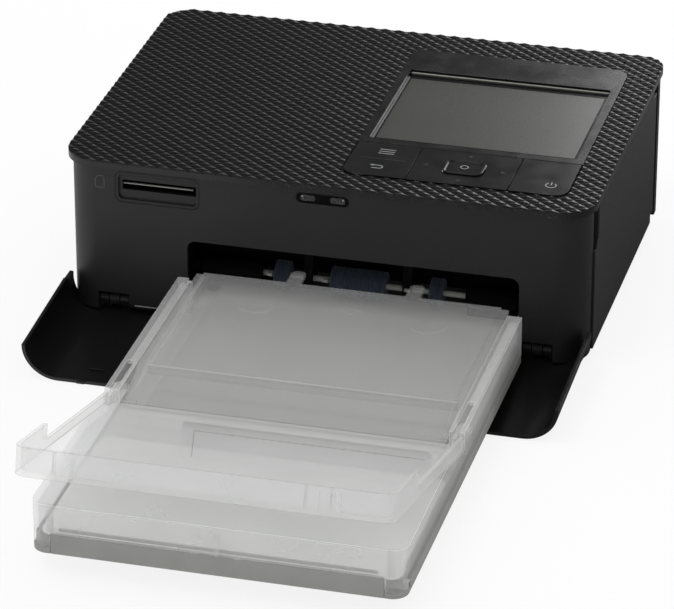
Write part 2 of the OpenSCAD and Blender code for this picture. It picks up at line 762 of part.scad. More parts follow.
module cassette_base() at_origin() color(c_grey) difference() {
    union() {
        difference() {
            translate([0, 0, tray_z]) linear_extrude(base_rim - tray_z) tray_plan(0);
            translate([0, 0, tray_floor]) linear_extrude(10) tray_plan(tray_wall);
        }
        // Ribs that carry the paper in front of the lift plate.
        for (x = [-34, -18, 0, 20, 38, 54])
            box(x, x + 1.4, 6 - tray_front, lift_y0 - 4, tray_floor - eps, paper_z);
        // Eyes of the lift plate hinge.
        for (x = [tray_x - lift_w / 2 - 4, tray_x + lift_w / 2 + 2])
            box(x, x + 2, lift_y0 - 1.4, lift_y0 + 1.4, tray_floor - eps, lift_top - 0.1);
    }
    rod(tray_x - 37, tray_x + 37, [lift_y0, lift_top - lift_t], lift_pin_d + 2 * run_gap);
    // Window that the lift plate sinks into.
    box(tray_x - lift_w / 2 - 2 * gap, tray_x + lift_w / 2 + 2 * gap, lift_y0 + 1, paper_y1 - 0.4,
        0, tray_floor + 1);
    box(strip_x0 - 0.1, strip_x1 + 0.1, -tray_front - 1, strip_t - tray_front, 0, 20);
    for (x = [tray_x0 - 1, strip_x1])
        box(x, x + strip_x0 - tray_x0 + 1, -tray_front - 1, 6.5 - tray_front, tray_floor, 20);
}

module cassette_front_strip() at_origin() color(c_grey)
    box(strip_x0, strip_x1, -tray_front, strip_t - tray_front, tray_z - 0.1, strip_z);

module cassette_body() at_origin() color(c_frost) difference() {
    union() {
        difference() {
            translate([0, 0, base_rim]) linear_extrude(rim_z - base_rim) tray_plan(0);
            // Nothing stands above the neck, which goes under the pick-up rollers.
            box(neck_x0 - 1, neck_x1 + 1, shoulder_y, tray_rear + 1, neck_z, rim_z + 1);
            along_x(tray_x0 - 1, tray_x1 + 1)
                polygon([[ramp_y0, rim_z], [ramp_y1, ramp_z(ramp_y1)],
                    [ramp_y1, rim_z + 5], [ramp_y0, rim_z + 5]]);
            // Inside, below the top panel, the ramp and the rims.
            intersection() {
                translate([0, 0, base_rim - 1]) linear_extrude(rim_z) tray_plan(tray_wall);
                along_x(tray_x0, tray_x1) polygon([[-tray_front, 0], [-tray_front, rim_z - 1.4],
                    [ramp_y0 - 1, rim_z - 1.4], [ramp_y1, ramp_z(ramp_y1) - 1.4], [ramp_y1, rim_z - 1.4],
                    [tray_rear, rim_z - 1.4], [tray_rear, 0]]);
            }
            // Opening that the inner lid covers.
            box(tray_x0 + flange_w, tray_x1 - flange_w, ramp_y1 - 1.2, shoulder_y + 1,
                ramp_z(ramp_y1) - 1, rim_z + 1);
            box(neck_x0 + tray_wall, neck_x1 - tray_wall, shoulder_y - 2, tray_rear - tray_wall,
                base_rim - 1, rim_z + 1);
            box(neck_x0 - 1, neck_x1 + 1, tray_rear - 4, tray_rear + 1, base_rim, rim_z);
        }
        // Rim webs with the eyes of the inner lid.
        for (x = [tray_x0 + flange_w - 1.2, tray_x1 - flange_w])
            box(x, x + 1.2, ramp_y1, shoulder_y, inner_z - 2.2, rim_z - 1);
        // Corner columns at the front.
        for (x = [tray_x0, strip_x1 + 0.2]) intersection() {
            translate([0, 0, tray_floor]) linear_extrude(rim_z - tray_floor) tray_plan(0);
            box(x, x + strip_x0 - tray_x0 - 0.2, -tray_front, 4.5 - tray_front, 0, rim_z);
        }
    }
    rod(tray_x0 - 1, tray_x1 + 1, [lid_y, lid_z], lid_pin_d + 2 * run_gap);
    rod(tray_x0 + tray_wall + 1.5, tray_x1 - tray_wall - 1.5, [inner_y, inner_z], inner_pin_d + 2 * run_gap);
    // Slots for the arms of the outer lid.
    for (x = [tray_x0 + tray_wall, tray_x1 - tray_wall - arm_t - 2 * gap])
        box(x, x + arm_t + 2 * gap, ramp_y1 - 2, lid_y + 12, ramp_z(ramp_y1), rim_z + 1);
    box(strip_x0 - 0.1, strip_x1 + 0.1, -tray_front - 1, strip_t - tray_front, 0, strip_z + 0.1);
}

// The outer lid, flat, with its hinge axis at the origin and its floor below the axis.
module lid_flat() {
    z0 = -lid_drop;
    y_ear = ear_len - lid_len;
    difference() {
        union() {
            difference() {
                translate([0, 0, z0]) linear_extrude(lid_wall_h) lid_plan(0);
                translate([0, 0, z0 + lid_t]) linear_extrude(lid_wall_h) lid_plan(tray_wall);
                box(tray_x0 - 1, tray_x1 + 1, y_ear, 20, 0, 20);
                box(tray_x0 - 1, tray_x1 + 1, -lid_back, 20, z0 - 1, 20);
            }
            for (x = [tray_x0 + tray_wall + gap, tray_x1 - tray_wall - gap - arm_t]) {
                along_x(x, x + arm_t)
                    polygon([[-lid_back - 4, z0], [-lid_back + 1, z0], [1.9, -1.6], [1.9, 0], [1.2, 1.6],
                        [-3, 1.9], [-lid_back - 4, 0]]);
            }
        }
        // Shallow finger recess in the lid floor.
        translate([0, 0, z0 + lid_t - 0.35]) linear_extrude(1)
            polygon([[-12, -31], [tray_x1 - 7.5, -31], [tray_x1 - 7.5, -62], [-4, -62]]);
    }
    for (x = [-36, 42, 50])
        box(x, x + 0.8, -lid_len + tray_wall - eps, -lid_len + tray_wall + 0.8,
            z0 + lid_t - eps, lid_wall_h - lid_drop - 0.8);
    pin = tray_wall + eps;
    for (x = [tray_x0 + gap, tray_x1 - gap - pin]) rod(x, x + pin, [0, 0], lid_pin_d);
}

module lid_plan(i) {
    rounded(tray_x0 + i, tray_x1 - i, -lid_len + i, -20, tray_r - i);
    translate([tray_x0 + i, -lid_len / 2]) square([tray_w - 2 * i, lid_len / 2 + 20]);
}

module outer_lid() at_origin() color(c_frost)
    translate([0, lid_y, lid_z]) rotate([-lid_slope, 0, 0]) lid_flat();

module inner_profile(top, t) {
    drop = (top - inner_z - 1.4) / (inner_bend - inner_y);
    y0 = inner_y - 1.6;
    z0 = top - (inner_bend - y0) * drop;
    polygon([[y0, z0], [inner_bend, top], [inner_rear, top], [inner_rear, top - t],
        [inner_bend + 0.3, top - t], [y0, z0 - t]]);
}

module inner_lid() at_origin() color(c_frost) {
    along_x(inner_x0 + inner_side, inner_x1 - inner_side) inner_profile(inner_top, inner_t);
    for (x = [inner_x0, inner_x1 - inner_side - eps])
        along_x(x, x + inner_side + eps) inner_profile(inner_top - 0.7, inner_t);
    for (x = [-12, 29.1]) slab(x, x + 4.9, inner_rear - 4, 8, 1.6, inner_top - inner_t, inner_top);
    for (x = [inner_x0, inner_x1 - 4]) {
        rod(x, x + 4, [inner_y, inner_z], 3.2);
        box(x, x + 4, inner_y - 1.2, inner_y + 1.2, inner_z, inner_z + 1.1);
    }
    pin = gap + 1.1 + eps;
    for (x = [inner_x0 + eps - pin, inner_x1 - eps]) rod(x, x + pin, [inner_y, inner_z], inner_pin_d);
    // Raised arcs where fingers press, and a plain triangle.
    for (x = [-17, 42]) translate([x, -20, inner_top - eps]) linear_extrude(0.25) difference() {
        circle(6.2);
        circle(5.5);
        translate([-8, 0]) square([16, 8]);
    }
    translate([14.2, -17, inner_top - eps])
        linear_extrude(0.25) polygon([[-3.2, 1.6], [3.2, 1.6], [0, -2]]);
}

module lift_plate() at_origin() color(c_frost) {
    box(tray_x - lift_w / 2, tray_x + lift_w / 2, lift_y0, paper_y1 - 1, lift_top - lift_t, lift_top);
    rod(tray_x - lift_w / 2 - 3.5, tray_x + lift_w / 2 + 3.5, [lift_y0, lift_top - lift_t],
        lift_pin_d);
}

module paper_stack() at_origin() color("#f4f3ee")
    box(tray_x - paper_w / 2, tray_x + paper_w / 2, paper_y1 - paper_l, paper_y1, paper_z, paper_z + paper_h);

// ---- Pick-up ------------------------------------------------------------------------------------

module opening_guide() at_origin() color("#0c0c0d") {
    y0 = front_inset + shell_wall + 0.2;
    y1 = take_at.x - drum_d / 2 - gap;
    difference() {
        union() {
            for (x = [mouth_x0 - 3, mouth_x1 + 1.8]) {
                box(x, x + 1.2, y0, y1, hinge_z + ear_r + 1, mouth_top + 2);
                box(x, x + 1.2, hinge_y + 8.6, y1, floor_top, mouth_top);
            }
            box(mouth_x0 - 3, mouth_x1 + 3, y0, y1, mouth_top + 0.6, mouth_top + 2);
            box(mouth_x0 - 3, mouth_x1 + 3, y1 - 1.2, y1, pick_at.y - 1.2, mouth_top + 2);
            // Hangers that steady the shaft between the rollers.
            for (x = hangers) along_x(x, x + hanger_w)
                polygon([[pick_at.x - 3.4, pick_at.y - 1.8], [pick_at.x + 3.4, pick_at.y - 1.8],
                    [y1 - 1, pick_at.y + 5], [y1 - 1, mouth_top + 1], [pick_at.x + 1, mouth_top + 1],
                    [pick_at.x - 3.4, pick_at.y + 3]]);
        }
        rod(mouth_x0 - 5, mouth_x1 + 5, pick_at, shaft_d + 2 * run_gap);
    }
}

module pick_shaft() at_origin() color(c_steel)
    rod(gear_x - 1, plate_r + plate_t + 2, pick_at, shaft_d);

module pick_rollers() at_origin() color(c_rubber) for (r = roller_runs) difference() {
    along_x(r[0], r[1]) translate(pick_at) union() {
        circle(pick_d / 2 - rib_h);
        for (k = [0:rib_count - 1])
            rotate(k * 360 / rib_count) translate([pick_d / 2 - 1, -0.42]) square([1, 0.84]);
    }
    rod(r[0] - 1, r[1] + 1, pick_at, shaft_d);
}

module pick_sleeves() at_origin() color("#151517") for (r = sleeve_runs) difference() {
    rod(r[0], r[1], pick_at, sleeve_d);
    rod(r[0] - 1, r[1] + 1, pick_at, shaft_d);
}

module pick_gear() at_origin() color("#e8e6df")
    gear(pick_teeth, pick_at, mesh(heading(idler_at, pick_at), idler_phase, idler_teeth, pick_teeth),
        shaft_d);

module idler_gear() at_origin() color("#e8e6df")
    gear(idler_teeth, idler_at, idler_phase, shaft_d + 2 * run_gap);

module platen_gear() at_origin() color("#e8e6df")
    gear(platen_teeth, platen_at, platen_phase, shaft_d);

module platen_roller() at_origin() {
    color(c_steel) rod(gear_x - 1, plate_r + plate_t + 2, platen_at, shaft_d);
    color("#303236") rod(roll_x0, roll_x1, platen_at, platen_d);
}

module feed_roller() at_origin() color(c_steel) {
    rod(gear_x - 1, plate_r + plate_t + 2, feed_at, shaft_d);
    rod(roll_x0, roll_x1, feed_at, feed_d);
    gear(feed_teeth, feed_at, feed_phase, shaft_d - 0.2);
}

module pinch_roller() at_origin() color(c_steel) {
    rod(plate_l - 1, plate_r + plate_t + 1, pinch_at, pinch_shaft_d);
    rod(roll_x0, roll_x1, pinch_at, pinch_d);
}

module drive_motor() at_origin() color(c_steel) {
    rod(gear_x - 26, gear_x - 4, motor_at, motor_d);
    rod(gear_x - 5, gear_x - 1.4, motor_at, motor_d / 3);
    rod(gear_x - 1.5, gear_x - 0.3, motor_at, motor_shaft_d);
}

module motor_bracket() at_origin() color(c_steel) difference() {
    union() {
        box(gear_x - 4, gear_x - 3, motor_at.x - 11, motor_at.x + 14, floor_top, motor_at.y + 11);
        box(gear_x - 4, plate_l, motor_at.x + 13, motor_at.x + 14, floor_top, motor_at.y + 11);
        box(gear_x - 12, gear_x - 4 + eps, motor_at.x - 11, motor_at.x + 14, floor_top, floor_top + 1);
    }
    rod(gear_x - 20, gear_x, motor_at, motor_d / 3);
    box(gear_x - 13, gear_x - 4, motor_at.x - motor_d / 2 - 0.4, motor_at.x + motor_d / 2 + 0.4,
        floor_top + 0.9, motor_at.y + 30);
}

module motor_pinion() at_origin() color("#d8b46a")
    gear(motor_teeth, motor_at, pinion_phase, motor_shaft_d + 2 * run_gap);

// ---- Chassis and head ---------------------------------------------------------------------------

module chassis() at_origin() color("#9c9fa3") {
    difference() {
        union() {
            for (x = [plate_l, plate_r]) box(x, x + plate_t, plate_y0, plate_y1, floor_top, plate_z);
            box(plate_r, plate_r + plate_t, port_y0 - 2, port_y1 + 2, plate_z - eps, port_z1 + 1.6);
            box(plate_l, plate_r + plate_t, plate_y1 - plate_t, plate_y1, 18, plate_z);
            for (x = [plate_l, plate_r + plate_t - foot_w])
                box(x, x + foot_w, plate_y0 + 20, plate_y1, floor_top, floor_top + plate_t);
            box(plate_l, plate_r + plate_t, bridge_y - bridge_d / 2, bridge_y + bridge_d / 2,
                bridge_z, bridge_z + bridge_t);
        }
        for (p = [pick_at, platen_at, feed_at]) rod(plate_l - 5, plate_r + 5, p, shaft_d + 2 * run_gap);
        rod(plate_l - 5, plate_r + 5, pinch_at, pinch_shaft_d + 2 * run_gap);
        post_places() translate([0, 0, bridge_z - 1])
            cylinder(h = bridge_t + 2, d = post_d + 2 * run_gap);
        // Room for the hinge ears of the base.
        box(plate_l - 1, plate_r + 5, plate_y0 - 1, hinge_y + 8 + gap, 0, hinge_z + 2.2 + gap);
        cartridge_port();
    }
    rod(gear_x - 0.6, plate_l + eps, idler_at, shaft_d);
}

// Opening in the right plate: both drums, and the film and end band between them.
module cartridge_port() along_x(plate_r - 1, plate_r + plate_t + 1) difference() {
    union() {
        translate([port_y0, port_z0]) square([port_y1 - port_y0, port_z1 - port_z0]);
        polygon([[take_at.x + 4, port_z0 + 1], [head_y0 - 3, film_z - 0.6], [head_y1 + 4, film_z - 0.6],
            [supply_at.x - 11, port_z0 + 1]]);
    }
    // The tongue that the bridge hangs on.
    translate([bridge_y - bridge_d / 2, drum_z - 2]) square([bridge_d, 20]);
}

module post_places()
    for (s = [-1, 1]) translate([head_mid + s * head_reach, bridge_y, 0]) children();

module thermal_head() at_origin() color("#aeb2b6") difference() {
    x0 = ribbon_x0 + 2.4;
    x1 = roll_x1 - 1;
    union() {
        box(x0, x1, head_y0, head_y1, head_z, head_z + 2);
        // Cooling fins.
        for (y = [head_y0:fin_pitch:head_y1 - 0.9]) box(x0, x1, y, y + 1, head_z + 2 - eps, head_z + head_h);
        post_places() translate([0, 0, head_z + 1]) cylinder(h = head_h - 1, d = post_d + 2.4);
    }
    post_places() translate([0, 0, head_z + 1]) cylinder(h = head_h, d = post_d);
}

module head_posts() at_origin() color(c_steel)
    post_places() translate([0, 0, head_z + 1])
        cylinder(h = bridge_z + bridge_t + head_drop - head_z, d = post_d);

// ---- Ribbon cartridge ---------------------------------------------------------------------------

module drum(at, side) difference() {
    rod(ribbon_x0, ribbon_x1, at, drum_d);
    rod(ribbon_x0 + drum_wall, ribbon_x1 - drum_wall, at, drum_d - 2 * drum_wall);
    // Slot where the film leaves.
    translate([0, at.x - (side > 0 ? 0 : drum_d), at.y])
        box(ribbon_x0 + drum_wall, ribbon_x1 - drum_wall, 0, drum_d, -drum_d / 2 - 1, -2);
    rod(ribbon_x0 - 1, ribbon_x1 + 1, at, spool_d - 1 + 2 * run_gap);
}

module ribbon_case() at_origin() color("#e4e2dc") {
    drum(take_at, 1);
    drum(supply_at, -1);
    end_band(ribbon_x1 - band_w);
    // Finger grips at the outer end.
    for (y = [take_at.x, supply_at.x])
        box(ribbon_x1 - eps, ribbon_x1 + 6, y - 6, y + 6, drum_z + spool_d, drum_z + spool_d + 1.6);
}

// Joins the two drums at their outer end, just inside the film. The inner end stays open, so that
// the cartridge can be drawn out past the head.
module end_band(x) along_x(x, x + band_w)
    polygon([[drum_front - 2.7, drum_z - 3.4], [head_y0 - 1, band_z], [head_y1 + 1.6, band_z],
        [drum_back + 1.3, drum_z - 3.4], [drum_back + 0.5, drum_z + 1], [drum_back - 2.5, drum_z - 4],
        [head_y1 + 0.8, band_z + band_t], [head_y0 - 0.2, band_z + band_t],
        [drum_front + 0.1, drum_z - 4], [drum_front - 1.1, drum_z + 1]]);

// A spool with film wound on it to the diameter "wound".
module spool(at, wound) {
    rod(ribbon_x0 + drum_wall + gap, ribbon_x1 - drum_wall - gap, at, spool_d);
    rod(ribbon_x0 - 0.4, ribbon_x1 + 0.4, at, spool_d - 1);
    rod(roll_x0 + 2, roll_x1 - 2, at, wound);
}

module supply_spool() at_origin() color("#3a3550") spool(supply_at, supply_d);

module take_up_spool() at_origin() color("#3a3550") spool(take_at, take_d);

module ribbon_film() at_origin() color("#5c5068") {
    x0 = roll_x0 + 2;
    x1 = roll_x1 - 2;
    left = [drum_front - 3.3, drum_z - 3.4];
    right = [drum_back + 1.7, drum_z - 3.4];
    along_x(x0, x1) polygon([left, left + [film_t, 0], [head_y0 - 1 + film_t, film_z + film_t],
        [head_y1 + 2, film_z + film_t], right, right + [film_t, 0],
        [head_y1 + 2 + film_t, film_z], [head_y0 - 1, film_z]]);
}

// ---- Compartment cover --------------------------------------------------------------------------

module compartment_cover() at_origin() color(c_shell) difference() {
    union() {
        intersection() {
            ring(side_inset, shell_wall, 1.5, shell_top);
            box(0, side_x, split_y + seam, cover_ay, 0, body_h);
        }
        translate([cover_ax, cover_ay, barrel_z0]) cylinder(h = barrel_z1 - barrel_z0, r = barrel_r);
        // Catch.
        box(side_x - side_inset - 4.2, side_x - side_inset - shell_wall + eps,
            split_y + 9, split_y + 11, 20, 34);
    }
    for (z = [[0, barrel_z0], [barrel_z1, barrel_z1 + 10]])
        box(cover_ax - 5, side_x + 1, cover_ay - 3.6, body_d, z[0], z[1]);
    for (z = [barrel_z0 - 1, barrel_z1 - 6])
        translate([cover_ax, cover_ay, z]) cylinder(h = 7, d = cover_pin_d + 2 * run_gap);
    notch(1);
}

module cover_pins() at_origin() color(c_steel) {
    translate([cover_ax, cover_ay, floor_z]) cylinder(h = barrel_z0 + 5 - floor_z, d = cover_pin_d);
    translate([cover_ax, cover_ay, barrel_z1 - 5.5]) cylinder(h = 7.7, d = cover_pin_d);
}

// ---- Electronics --------------------------------------------------------------------------------

module main_board() at_origin() color("#1d5a37") difference() {
    box(-74, 80, main_y, main_y + 1.6, 18.5, 52);
    for (x = [-70, 76], z = [22, 48]) rod_y([x, z], main_y - 1, main_y + 3, 3.2);
}

module board_parts() at_origin() color("#2e3034") {
    for (p = [[-40, 22, 14, 14], [-16, 24, 10, 8], [4, 30, 12, 12], [30, 24, 18, 10], [54, 34, 8, 12]])
        box(p[0], p[0] + p[2], main_y - 1.6, main_y, p[1], p[1] + p[3]);
    for (x = [-58, -50]) rod_y([x, 40], main_y - 9, main_y, 7);
}

module power_inlet() at_origin() color("#1b1b1d") difference() {
    union() {
        box(inlet_at.x - 5.5, inlet_at.x + 5.5, main_y + 1.6, body_d - side_inset - shell_wall,
            inlet_at.y - 5.5, inlet_at.y + 5.5);
        rod_y(inlet_at, body_d - 4, body_d - side_inset, 8.8);
    }
    rod_y(inlet_at, body_d - 9, body_d + 1, inlet_d);
}

module usb_port() at_origin() color(c_steel) difference() {
    slab_y(usb_x - 4.6, usb_x + 4.6, 24.6, 28.2, 1.7, main_y + 1.6, body_d - side_inset);
    slab_y(usb_x - 4.2, usb_x + 4.2, 25, 27.8, 1.3, main_y + 3, body_d + 1);
}

module slab_y(x0, x1, z0, z1, r, y0, y1)
    along_y(y0, y1) rounded(x0, x1, z0, z1, r);

module battery_contacts() at_origin() color("#c9a75a") for (x = batt_x)
    box(x - batt_w / 2, x + batt_w / 2, main_y + 1.6, body_d - side_inset - 0.6, batt_z0, batt_z1);

base_tray();
front_shell();
left_panel();
rear_panel();
top_cover();
panel_bezel();
display_window();
display_module();
panel_board();
menu_rocker();
plate_carrier();
direction_plate();
ok_key();
power_key();
card_slot_bezel();
card_reader();
sensor_window();
sensor_lenses();
front_door();
door_hinge_pins();
cassette_base();
cassette_body();
cassette_front_strip();
outer_lid();
inner_lid();
lift_plate();
paper_stack();
opening_guide();
pick_shaft();
pick_rollers();
pick_sleeves();
pick_gear();
idler_gear();
platen_roller();
platen_gear();
feed_roller();
pinch_roller();
drive_motor();
motor_bracket();
motor_pinion();
chassis();
thermal_head();
head_posts();
ribbon_case();
supply_spool();
take_up_spool();
ribbon_film();
compartment_cover();
cover_pins();
main_board();
board_parts();
power_inlet();
usb_port();
battery_contacts();
feet();
case_screws();
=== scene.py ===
"""Looks of a compact photo printer with its door open and its paper cassette pushed in.

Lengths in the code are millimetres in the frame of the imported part, and are turned to metres
where they meet Blender. X is to the right, the cassette is towards -Y and the desk is at Z = 0.
In the operators, a and b are the lowest and highest corners of the CAD node that a piece sits on.
"""
import json
import math

import bmesh
import bpy
from mathutils import Matrix, Vector


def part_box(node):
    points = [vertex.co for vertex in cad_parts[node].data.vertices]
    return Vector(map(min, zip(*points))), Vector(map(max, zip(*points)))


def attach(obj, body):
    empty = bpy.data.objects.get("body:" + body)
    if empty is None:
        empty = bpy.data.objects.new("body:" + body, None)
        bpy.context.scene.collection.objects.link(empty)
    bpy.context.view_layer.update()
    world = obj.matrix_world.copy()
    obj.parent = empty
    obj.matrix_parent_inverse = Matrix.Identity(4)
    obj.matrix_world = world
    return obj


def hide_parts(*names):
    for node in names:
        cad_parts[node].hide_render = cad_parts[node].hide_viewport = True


bl_info = {
    "name": "Photo Printer Looks",
    "version": (1, 0, 0),
    "blender": (4, 5, 0),
    "location": "View3D > Sidebar > Printer",
    "description": "Builds the surfaces, markings and studio of a compact photo printer",
    "category": "Object",
}

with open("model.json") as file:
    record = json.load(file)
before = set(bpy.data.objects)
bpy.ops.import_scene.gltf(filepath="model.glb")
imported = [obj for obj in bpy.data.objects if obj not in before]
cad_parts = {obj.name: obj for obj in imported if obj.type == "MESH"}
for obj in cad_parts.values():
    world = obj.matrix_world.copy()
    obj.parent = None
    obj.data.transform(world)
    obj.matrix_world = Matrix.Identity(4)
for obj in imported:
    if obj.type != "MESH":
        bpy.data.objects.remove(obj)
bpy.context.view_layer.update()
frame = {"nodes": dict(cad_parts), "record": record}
NODES = frame["nodes"]
SLOT_OF = {row["node"]: row["material_slot"] for row in frame["record"]["subparts"]}
BODY_OF = {n: body for body, members in frame["record"]["behaviour"]["bodies"].items() for n in members}
MATERIALS = {}
MM = 0.001
X_AXIS = Vector((1, 0, 0))
Y_AXIS = Vector((0, 1, 0))
Z_AXIS = Vector((0, 0, 1))
# An edge whose faces turn by more than this, in degrees, is a corner and not part of a curve.
CORNER = 32


def low(node):
    """Lowest corner of a CAD node, in millimetres."""
    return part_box(node)[0] / MM


def high(node):
    """Highest corner of a CAD node, in millimetres."""
    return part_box(node)[1] / MM


COVER_LOW = low("top_cover")
COVER_HIGH = high("top_cover")


def linear(code):
    """Turns an sRGB hex value such as "2b2b2b" to the linear colour that a shader takes."""
    values = [int(code[i : i + 2], 16) / 255 for i in (0, 2, 4)]
    return [v / 12.92 if v <= 0.04045 else ((v + 0.055) / 1.055) ** 2.4 for v in values] + [1.0]


def colour_setting(name, description, code):
    """A colour that a user may change, with its sRGB default."""
    return bpy.props.FloatVectorProperty(
        name=name, description=description, subtype="COLOR", size=4, min=0, max=1, default=linear(code)
    )


def length_setting(name, description, millimetres):
    """A length that a user may change, with its default in millimetres."""
    return bpy.props.FloatProperty(
        name=name, description=description, default=millimetres * MM, min=0, unit="LENGTH"
    )


class PrinterFinish(bpy.types.PropertyGroup):
    """Colours of the printer's surfaces."""

    shell: colour_setting("Shell", "Moulded black of the casing walls and the door", "161617")
    cover: colour_setting("Cover", "Moulded black of the patterned top cover", "0e0e0f")
    gloss: colour_setting("Gloss", "Polished black of the operation panel", "070708")
    display: colour_setting("Display", "Anti-glare film of the display that is off", "3d3d3b")
    frost: colour_setting("Frost", "Frosted polypropylene of the cassette and its lids", "e8e9e8")
    grey: colour_setting("Grey", "Grey base and front strip of the cassette", "949491")
    roller: colour_setting("Roller", "Blue-grey rubber of the pick-up rollers", "222d3d")
    marking: colour_setting("Marking", "Printed symbols on the keys", "8f9092")


class PrinterRelief(bpy.types.PropertyGroup):
    """Sizes of the raised pattern and of the moulded edges."""

    pitch_x: length_setting("Pitch across", "Width of one diamond of the cover", 5.1)
    pitch_y: length_setting("Pitch along", "Depth of one diamond of the cover", 4.2)
    height: length_setting("Height", "Height of one diamond of the cover", 0.5)
    rim: length_setting("Rim", "Gap left round the pattern", 0.4)
    edge: length_setting("Edge", "Rounding of the moulded edges", 0.25)


class PrinterStudio(bpy.types.PropertyGroup):
    """Camera and lamps."""

    lens: bpy.props.FloatProperty(
        name="Lens", description="Focal length on a 36 mm sensor", default=230.8, min=20, max=400
    )
    key_glow: bpy.props.FloatProperty(
        name="Key glow", description="Radiance of the softbox overhead", default=6.5, min=0
    )
    back_glow: bpy.props.FloatProperty(
        name="Back glow", description="Radiance of the softbox behind the printer", default=6, min=0
    )
    world: bpy.props.FloatProperty(
        name="World", description="Strength of the even light all round", default=0.78, min=0, max=2
    )


def finish():
    """The colours set in the scene."""
    return bpy.context.scene.printer_finish


def relief():
    """The sizes of pattern and edges set in the scene."""
    return bpy.context.scene.printer_relief


# ---- Shader nodes and materials ------------------------------------------------------------------

# Between these two levels a noise pattern has most of its area.
PATTERN_SPAN = (0.3, 0.7)


def add_node(tree, kind, values=(), links=(), **properties):
    """Adds a node: properties of the node itself, values of its sockets, links into its sockets."""
    made = tree.nodes.new(kind)
    for name, value in properties.items():
        setattr(made, name, value)
    for socket, value in dict(values).items():
        made.inputs[socket].default_value = value
    for socket, output in dict(links).items():
        tree.links.new(output, made.inputs[socket])
    return made


def start_material(name, **sockets):
    """A material with its Principled shader set, and the Object coordinates that its patterns read."""
    made = bpy.data.materials.new(name)
    made.use_nodes = True
    tree = made.node_tree
    shader = tree.nodes["Principled BSDF"]
    for socket, value in sockets.items():
        shader.inputs[socket.replace("_", " ")].default_value = value
    place = add_node(tree, "ShaderNodeTexCoord")
    return made, tree, shader, place.outputs["Object"]


def patches(tree, place, size_mm, detail=2.0, stretch=(1, 1, 1)):
    """Uneven patches about size_mm wide, drawn out along an axis whose stretch is below 1."""
    mapping = add_node(tree, "ShaderNodeMapping", {"Scale": stretch}, {"Vector": place})
    cells = {"Scale": 1 / (size_mm * MM), "Detail": detail, "Roughness": 0.55}
    return add_node(tree, "ShaderNodeTexNoise", cells, {"Vector": mapping.outputs[0]}).outputs["Fac"]


def vary(tree, shader, colour, tone, shades, rough=None, relief=None, depth_mm=0.0, strength=1.0):
    """Lets patterns vary a surface: its colour between two shades of one, its roughness and its height.

    The pattern rough comes with the lowest and the highest roughness."""
    ramp = add_node(tree, "ShaderNodeValToRGB", (), {"Fac": tone})
    for stop, level, shade in zip(ramp.color_ramp.elements, PATTERN_SPAN, shades):
        stop.position = level
        stop.color = [min(1, c * shade) for c in colour[:3]] + [1]
    tree.links.new(ramp.outputs["Color"], shader.inputs["Base Color"])
    if rough:
        pattern, smoothest, roughest = rough
        low_level, high_level = PATTERN_SPAN
        ends = {"From Min": low_level, "From Max": high_level, "To Min": smoothest, "To Max": roughest}
        spread = add_node(tree, "ShaderNodeMapRange", ends, {"Value": pattern})
        tree.links.new(spread.outputs[0], shader.inputs["Roughness"])
    if relief:
        depth = {"Distance": depth_mm * MM, "Strength": strength}
        bump = add_node(tree, "ShaderNodeBump", depth, {"Height": relief})
        tree.links.new(bump.outputs["Normal"], shader.inputs["Normal"])


def moulded(name, colour, roughness=0.46, grain_mm=0.5, depth_mm=0.02, shine=0.45):
    """Plastic moulded in a spark-eroded tool: matt, with a soft broad highlight and a fine sparkle.

    The real grain is about 0.1 mm. It is drawn coarser, so that it shows in a render."""
    made, tree, shader, place = start_material(
        name, Roughness=roughness, IOR=1.53, Specular_IOR_Level=shine
    )
    grain, cloud = patches(tree, place, grain_mm), patches(tree, place, 18, 3)
    rough = (grain, roughness - 0.05, roughness + 0.06)
    vary(tree, shader, colour, cloud, (0.93, 1.07), rough, grain, depth_mm)
    return made


def zinc_plated(name, colour):
    """Zinc-plated steel bar, dulled by handling: pale grey, with an even shine and no mirror in it."""
    return moulded(name, colour, roughness=0.35, grain_mm=0.6, depth_mm=0.004, shine=0.9)


def polished_acrylic(name, colour, roughness=0.09):
    """Polished black acrylic: deep black with clear reflections and a hardly visible waviness."""
    made, tree, shader, place = start_material(name, Roughness=roughness, IOR=1.49)
    wave, smear = patches(tree, place, 22, 1), patches(tree, place, 9, 4)
    rough = (smear, roughness * 0.85, roughness * 1.25)
    vary(tree, shader, colour, wave, (0.9, 1.1), rough, wave, 0.003, 0.3)
    return made


def anti_glare_film(name, colour):
    """Matt polarising film over a display that is off: grey, blurring what it reflects.

    The real sparkle is about 0.03 mm. It is drawn coarser, so that it shows in a render."""
    made, tree, shader, place = start_material(name, Roughness=0.3, IOR=1.5, Specular_IOR_Level=0.9)
    sparkle, cloud = patches(tree, place, 0.3), patches(tree, place, 30, 1)
    vary(tree, shader, colour, cloud, (0.96, 1.04), (sparkle, 0.26, 0.34), sparkle, 0.004)
    return made


def frosted_polypropylene(name, colour, veil=0.29, roughness=0.36):
    """Frosted polypropylene, moulded in an etched tool: a milky veil over what lies behind it.

    The real frost is about 0.1 mm. It is drawn coarser, so that it shows in a render."""
    made, tree, shader, place = start_material(name, Roughness=roughness, IOR=1.49, Alpha=veil)
    frost, flow = patches(tree, place, 1.2), patches(tree, place, 26, 2, (1, 0.35, 1))
    rough = (frost, roughness - 0.04, roughness + 0.05)
    vary(tree, shader, colour, flow, (0.97, 1.03), rough, frost, 0.002)
    return made


def nitrile_rubber(name, colour, roughness=0.72):
    """Ground rubber of rollers and feet: matt, slightly dusty.

    The real grit is about 0.1 mm. It is drawn coarser, so that it shows in a render."""
    made, tree, shader, place = start_material(name, Roughness=roughness, IOR=1.5, Sheen_Weight=0.12)
    dust, grit = patches(tree, place, 1.2, 4), patches(tree, place, 0.35)
    vary(tree, shader, colour, dust, (0.8, 1.25), relief=grit, depth_mm=0.03)
    return made


